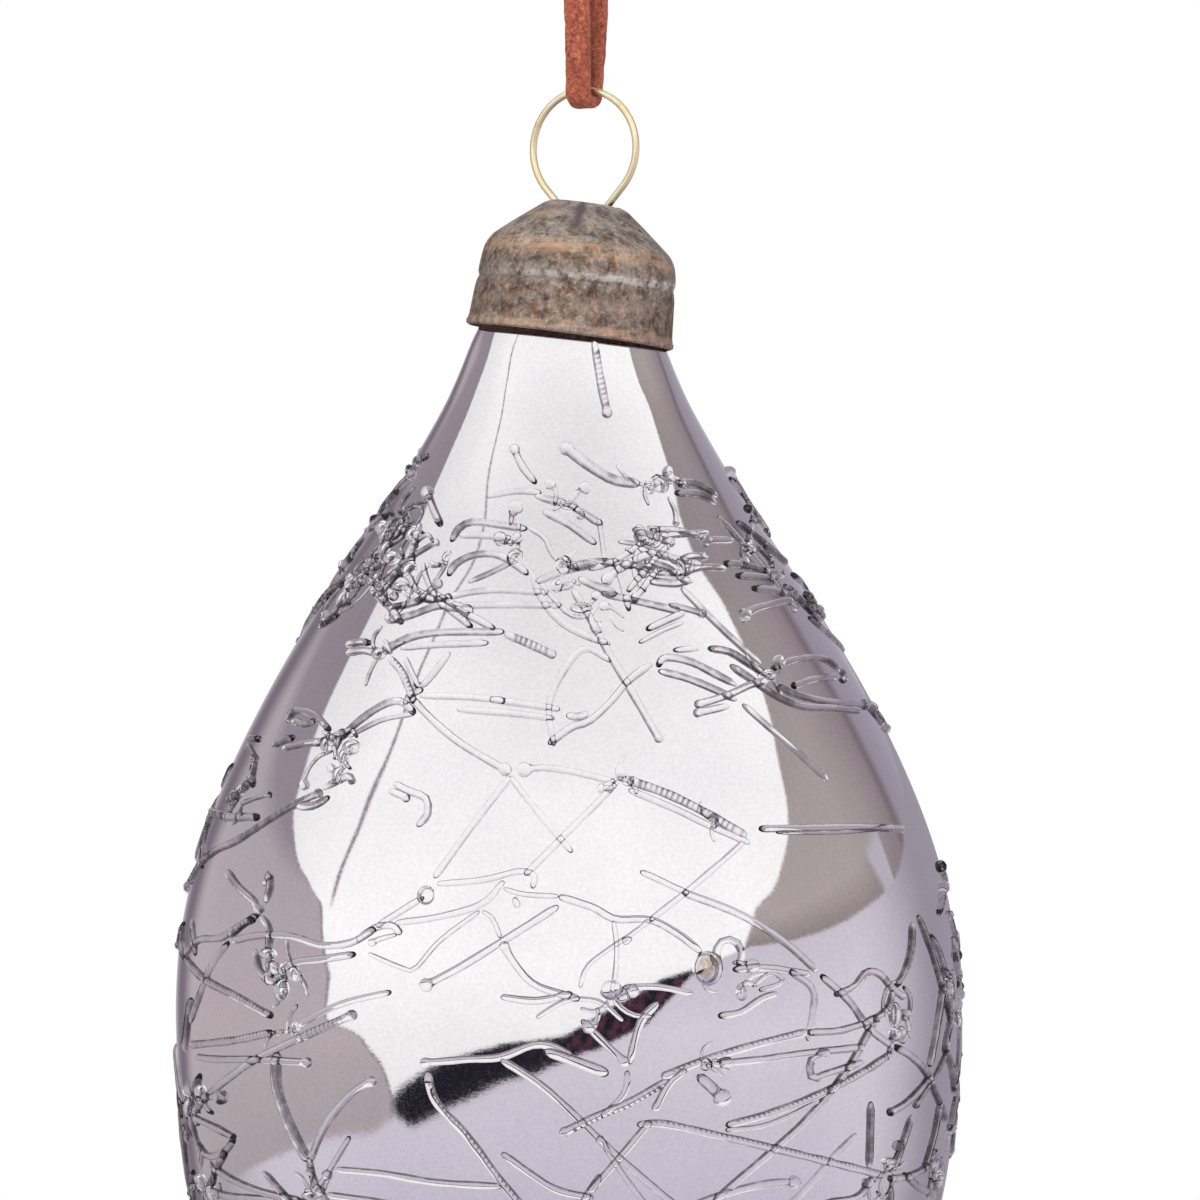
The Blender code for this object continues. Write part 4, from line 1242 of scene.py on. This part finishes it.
# Each zone's piece, its threads, and words in the names of the CAD's threads that it stands for:
# a thread goes to the first zone that has one of its words.
THREAD_ZONES = [
    ("threads_shoulder", shoulder_threads, ["below_cap", "shoulder", "back_upper"]),
    ("threads_band", band_threads, ["band", "right_hook", "centre_wave"]),
    ("threads_back", back_threads, ["back_belly", "back_long", "side"]),
    ("threads_belly", belly_threads, ["belly", "long", "left_cluster", "left_rise", "front_fall"]),
    ("threads_taper", taper_threads, ["taper", "back_lower"]),
    ("threads_lower", lower_threads, ["lower"]),
]


def make_threads():
    """All the melted threads: those of the front listed, the rest laid by chance, zone by zone."""
    material = clear_glass()
    spare = sorted(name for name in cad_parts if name.startswith("thread_"))
    for name, zone_threads, words in THREAD_ZONES:
        nodes = [node for node in spare if any(word in node for word in words)]
        spare = [node for node in spare if node not in nodes]
        zone_threads().finish(name, material, nodes)


# ---------------------------------------------------------------- surroundings

# What the mirror sees, by direction: (elevation, azimuth) or (azimuth, elevation) in degrees, the
# azimuth taken from the viewer's side towards +X.
SCREEN_LEFT = [
    (-12, -49), (-8, -55), (-4, -64), (-2, -74), (4, -74), (17, -81), (23, -105), (36, -121),
    (90, -124),
]
SCREEN_RIGHT = [(-8, 40), (8, 52), (13, 55), (19, 60), (29, 80), (37, 90), (41, 101), (90, 106)]
TABLE_LEFT = [(-180, -14), (-100, -12.6)]
TABLE_RIGHT = [(55, 11.6), (140, 11.6), (180, 2)]
TABLE_FRONT = [
    (-60, -13), (-52, -10.4), (-39, -8), (-18, -5.4), (0, -3.7), (10, 0.4), (28, 6.3), (37, 7.6),
]
GAP_FRONT = [
    (-60, -13.2), (-52, -11.8), (-47, -12.8), (-29, -11.6), (-8, -9.6), (10, -6.2), (23, -2),
    (38, 7.7),
]


def curve(recipe, value, reach, points, most):
    """A number that follows value along straight runs between (value, number) points.

    The value goes from -reach to reach, and the number stays between -most and most.
    """
    made = recipe.node("ShaderNodeFloatCurve")
    line = made.mapping.curves[0]
    while len(line.points) < len(points):
        line.points.new(0.5, 0.5)
    for mark, (x, y) in zip(line.points, points):
        mark.location = ((x + reach) / (2 * reach), (y + most) / (2 * most))
        mark.handle_type = "VECTOR"
    made.mapping.update()
    recipe.feed(made.inputs["Value"], recipe.span(value, -reach, reach))
    return recipe.span(made.outputs[0], 0.0, 1.0, -most, most)


class Sight:
    """The direction that a ray goes in, as angles that the surroundings' colours follow."""

    def __init__(self, recipe):
        self.recipe = recipe
        self.direction = recipe.node("ShaderNodeTexCoord").outputs["Generated"]
        split = recipe.node("ShaderNodeSeparateXYZ")
        recipe.feed(split.inputs[0], self.direction)
        x, y, z = split.outputs
        back = recipe.math("MULTIPLY", y, -1.0)
        self.azimuth = recipe.math("DEGREES", recipe.math("ARCTAN2", x, back))
        self.elevation = recipe.math("DEGREES", recipe.math("ARCSINE", z))
        self.off_front = recipe.math("ABSOLUTE", self.azimuth)
        self.wavy = self.shaken(self.azimuth, 7.0, 3.2, 1.0)

    def shaken(self, angle, most, *noise_settings):
        shift = self.recipe.noise(self.direction, *noise_settings)
        return self.recipe.math("ADD", angle, self.recipe.span(shift, 0.0, 1.0, -most, most))

    def by_height(self, low, high, stops):
        return self.recipe.ramp(self.recipe.span(self.elevation, low, high), stops)

    def strip(self, azimuth, outer, inner, gone, full):
        """An upright strip, fading in sideways from outer to inner and upwards from gone to full."""
        beside = self.recipe.span(self.recipe.apart(self.wavy, azimuth), outer, inner)
        return self.recipe.share(beside, self.recipe.span(self.elevation, gone, full))


def table_colour(sight):
    recipe = sight.recipe
    lilac = [
        (0.0, (0.42, 0.39, 0.46)), (0.5, (0.57, 0.53, 0.615)), (0.8, (0.74, 0.685, 0.775)),
        (1.0, (0.64, 0.59, 0.67)),
    ]
    far_side = recipe.span(sight.off_front, 95.0, 140.0, smooth=True)
    return recipe.mix(far_side, sight.by_height(-70.0, 13.0, lilac), (0.34, 0.30, 0.36))


def left_wall(sight):
    """Dim taupe and brown, darker above and behind."""
    recipe = sight.recipe
    shades = [
        (0.0, (0.42, 0.37, 0.39)), (0.12, (0.50, 0.44, 0.45)), (0.25, (0.50, 0.44, 0.47)),
        (0.43, (0.46, 0.40, 0.44)), (0.48, (0.32, 0.275, 0.31)), (1.0, (0.26, 0.22, 0.25)),
    ]
    behind = recipe.span(sight.azimuth, -142.0, -156.0, smooth=True)
    return recipe.mix(behind, sight.by_height(-14.0, 60.0, shades), (0.20, 0.165, 0.20))


def right_wall(sight):
    """Taupe beside the screen, then a dark corner and a lilac side, with a pale wedge before it."""
    recipe = sight.recipe
    shades = [
        (0.0, (0.25, 0.215, 0.205)), (0.05, (0.34, 0.295, 0.285)), (0.12, (0.45, 0.40, 0.385)),
        (0.35, (0.43, 0.375, 0.37)), (0.55, (0.33, 0.29, 0.295)), (1.0, (0.20, 0.17, 0.18)),
    ]
    corner = [
        (0.0, (0.29, 0.245, 0.265)), (0.45, (0.27, 0.225, 0.25)), (0.52, (0.20, 0.16, 0.18)),
        (0.60, (0.33, 0.29, 0.355)), (1.0, (0.40, 0.36, 0.43)),
    ]
    far = recipe.ramp(recipe.span(sight.azimuth, 104.0, 164.0), corner)
    wall = recipe.mix(recipe.span(sight.azimuth, 104.0, 134.0), sight.by_height(10.0, 70.0, shades), far)
    return recipe.mix(sight.strip(115.0, 4.5, 3.0, 18.5, 16.5), wall, (0.52, 0.47, 0.55))


def walls_colour(sight):
    recipe = sight.recipe
    on_right = recipe.span(sight.azimuth, -3.0, 3.0)
    walls = recipe.mix(on_right, left_wall(sight), right_wall(sight))
    behind = recipe.span(sight.off_front, 158.0, 176.0, smooth=True)
    return recipe.mix(behind, walls, (0.56, 0.51, 0.58))


def screen_colour(sight):
    """White, dimmer high up and at its far left, with a thin bar near its left edge."""
    recipe = sight.recipe
    whites = [
        (0.0, (0.97, 0.97, 0.96)), (0.2, (1.08, 1.08, 1.06)), (0.6, (1.02, 1.02, 1.01)),
        (1.0, (0.80, 0.80, 0.79)),
    ]
    far_left = recipe.span(sight.wavy, -78.0, -112.0, 0.0, 0.22)
    screen = recipe.mix(far_left, sight.by_height(-5.0, 75.0, whites), (0.25, 0.25, 0.26))
    return recipe.mix(sight.strip(-76.0, 1.2, 0.4, 16.0, 20.0), screen, (0.33, 0.28, 0.31))


def gap_colour(sight, walls):
    """The deep shadow between screen and table, blue-black with dark red on the right."""
    recipe = sight.recipe
    patches = recipe.span(recipe.noise(sight.direction, 26.0, 3.0), 0.45, 0.60)
    red = recipe.share(patches, recipe.span(sight.azimuth, -15.0, 5.0))
    shadow = recipe.mix(red, (0.016, 0.015, 0.024), (0.09, 0.035, 0.055))
    in_front = recipe.span(recipe.apart(sight.azimuth, -6.0), 48.0, 45.0)
    return recipe.mix(in_front, walls, shadow)


def make_world():
    """A studio as the drop sees it: a big white screen, a pale wall to its right, a lilac table."""
    world = bpy.data.worlds.new("studio")
    world.use_nodes = True
    recipe = Recipe(world.node_tree)
    sight = Sight(recipe)
    left = curve(recipe, sight.elevation, 90, SCREEN_LEFT, 180)
    right = curve(recipe, sight.elevation, 90, SCREEN_RIGHT, 180)
    table = curve(recipe, sight.azimuth, 180, [*TABLE_LEFT, *TABLE_FRONT, *TABLE_RIGHT], 90)
    gap = curve(recipe, sight.azimuth, 180, [*TABLE_LEFT, *GAP_FRONT, *TABLE_RIGHT], 90)
    ragged = sight.shaken(sight.elevation, 0.25, 30.0, 3.0, 0.7)

    def beyond(value, edge, soft):
        return recipe.span(recipe.math("SUBTRACT", value, edge), -soft, soft, smooth=True)

    walls = walls_colour(sight)
    on_screen = recipe.share(beyond(sight.wavy, left, 1.0), beyond(right, sight.wavy, 0.8))
    colour = recipe.mix(on_screen, walls, screen_colour(sight))
    beside_edge = recipe.span(recipe.apart(sight.wavy, left), 0.9, 0.3, 0.0, 0.7)
    screen_edge = recipe.share(beside_edge, recipe.span(sight.elevation, 24.0, 20.0))
    colour = recipe.mix(screen_edge, colour, (0.16, 0.12, 0.13))
    rear = recipe.share(
        recipe.span(sight.off_front, 140.0, 146.0, smooth=True),
        recipe.span(sight.elevation, 34.0, 38.0, smooth=True),
    )
    colour = recipe.mix(rear, colour, (0.97, 0.94, 0.97))
    below = recipe.mix(beyond(ragged, gap, 0.4), table_colour(sight), gap_colour(sight, walls))
    colour = recipe.mix(beyond(ragged, table, 0.4), below, colour)

    camera_ray = recipe.node("ShaderNodeLightPath").outputs["Is Camera Ray"]
    background = world.node_tree.nodes["Background"]
    recipe.feed(background.inputs["Color"], recipe.mix(camera_ray, colour, (1.0, 1.0, 1.0)))
    bpy.context.scene.world = world


def make_floor():
    """A plain pale floor well below the tip, left out of the mirror, which sees the table instead. It
    glows with painted light, more the further out it lies.
    """
    made, recipe = new_material("pale_floor", Roughness=0.8, Emission_Color=(1.0, 1.0, 1.0, 1.0))
    place = recipe.place()
    reach = recipe.node("ShaderNodeVectorMath", operation="LENGTH")
    recipe.feed(reach.inputs[0], recipe.stretched(place, (1.0, 1.0, 0.0)))
    shades = [(0.3, (0.64, 0.635, 0.65)), (0.7, (0.68, 0.675, 0.69))]
    # Painted light: the floor's glow rises from none near the middle to 0.7 towards its edge.
    recipe.paint(
        Base_Color=recipe.ramp(recipe.noise(place, 14.0, 3.0), shades),
        Emission_Strength=recipe.span(reach.outputs["Value"], 0.45, 1.15, 0.0, 0.7, smooth=True),
    )
    level = EQUATOR_Z + TIP_END_UP - FLOOR_GAP
    corners = [(x, y, level) for x, y in circle(FLOOR_RADIUS, 64)]
    floor = new_piece("floor", corners, [tuple(range(64))], made, None, None)
    floor.visible_glossy = False
    floor.visible_transmission = False


def make_light(name, place, aim, size, power):
    lamp = bpy.data.lights.new(name, "AREA")
    lamp.size = size * MM
    lamp.energy = power
    light = bpy.data.objects.new(name, lamp)
    light.location = Vector(place) * MM
    light.rotation_euler = (Vector(aim) - Vector(place)).to_track_quat("-Z", "Y").to_euler()
    light.visible_glossy = False
    light.visible_transmission = False
    bpy.context.scene.collection.objects.link(light)


def make_lights():
    """Two soft lamps for the dull surfaces; the mirror gets its light from the surroundings."""
    middle = (0.0, 0.0, EQUATOR_Z + 40.0)
    make_light("key", (-300.0, -800.0, 300.0), middle, 450.0, 4.6)
    make_light("fill", (450.0, -650.0, 50.0), middle, 450.0, 1.8)


def make_camera():
    camera = bpy.data.cameras.new("camera")
    camera.sensor_width = SENSOR_WIDTH
    camera.lens = SENSOR_WIDTH * VIEW_DISTANCE / VIEW_WIDTH
    holder = bpy.data.objects.new("camera", camera)
    holder.location = Vector((VIEW_CENTRE_X, -VIEW_DISTANCE, EQUATOR_Z + VIEW_CENTRE_UP)) * MM
    holder.rotation_euler = (math.radians(90.0), 0.0, 0.0)
    bpy.context.scene.collection.objects.link(holder)
    bpy.context.scene.camera = holder
    bpy.context.scene.view_settings.view_transform = "Standard"


make_camera()
make_lace()
make_clip()
make_cap()
make_drop()
make_threads()
make_world()
make_floor()
make_lights()
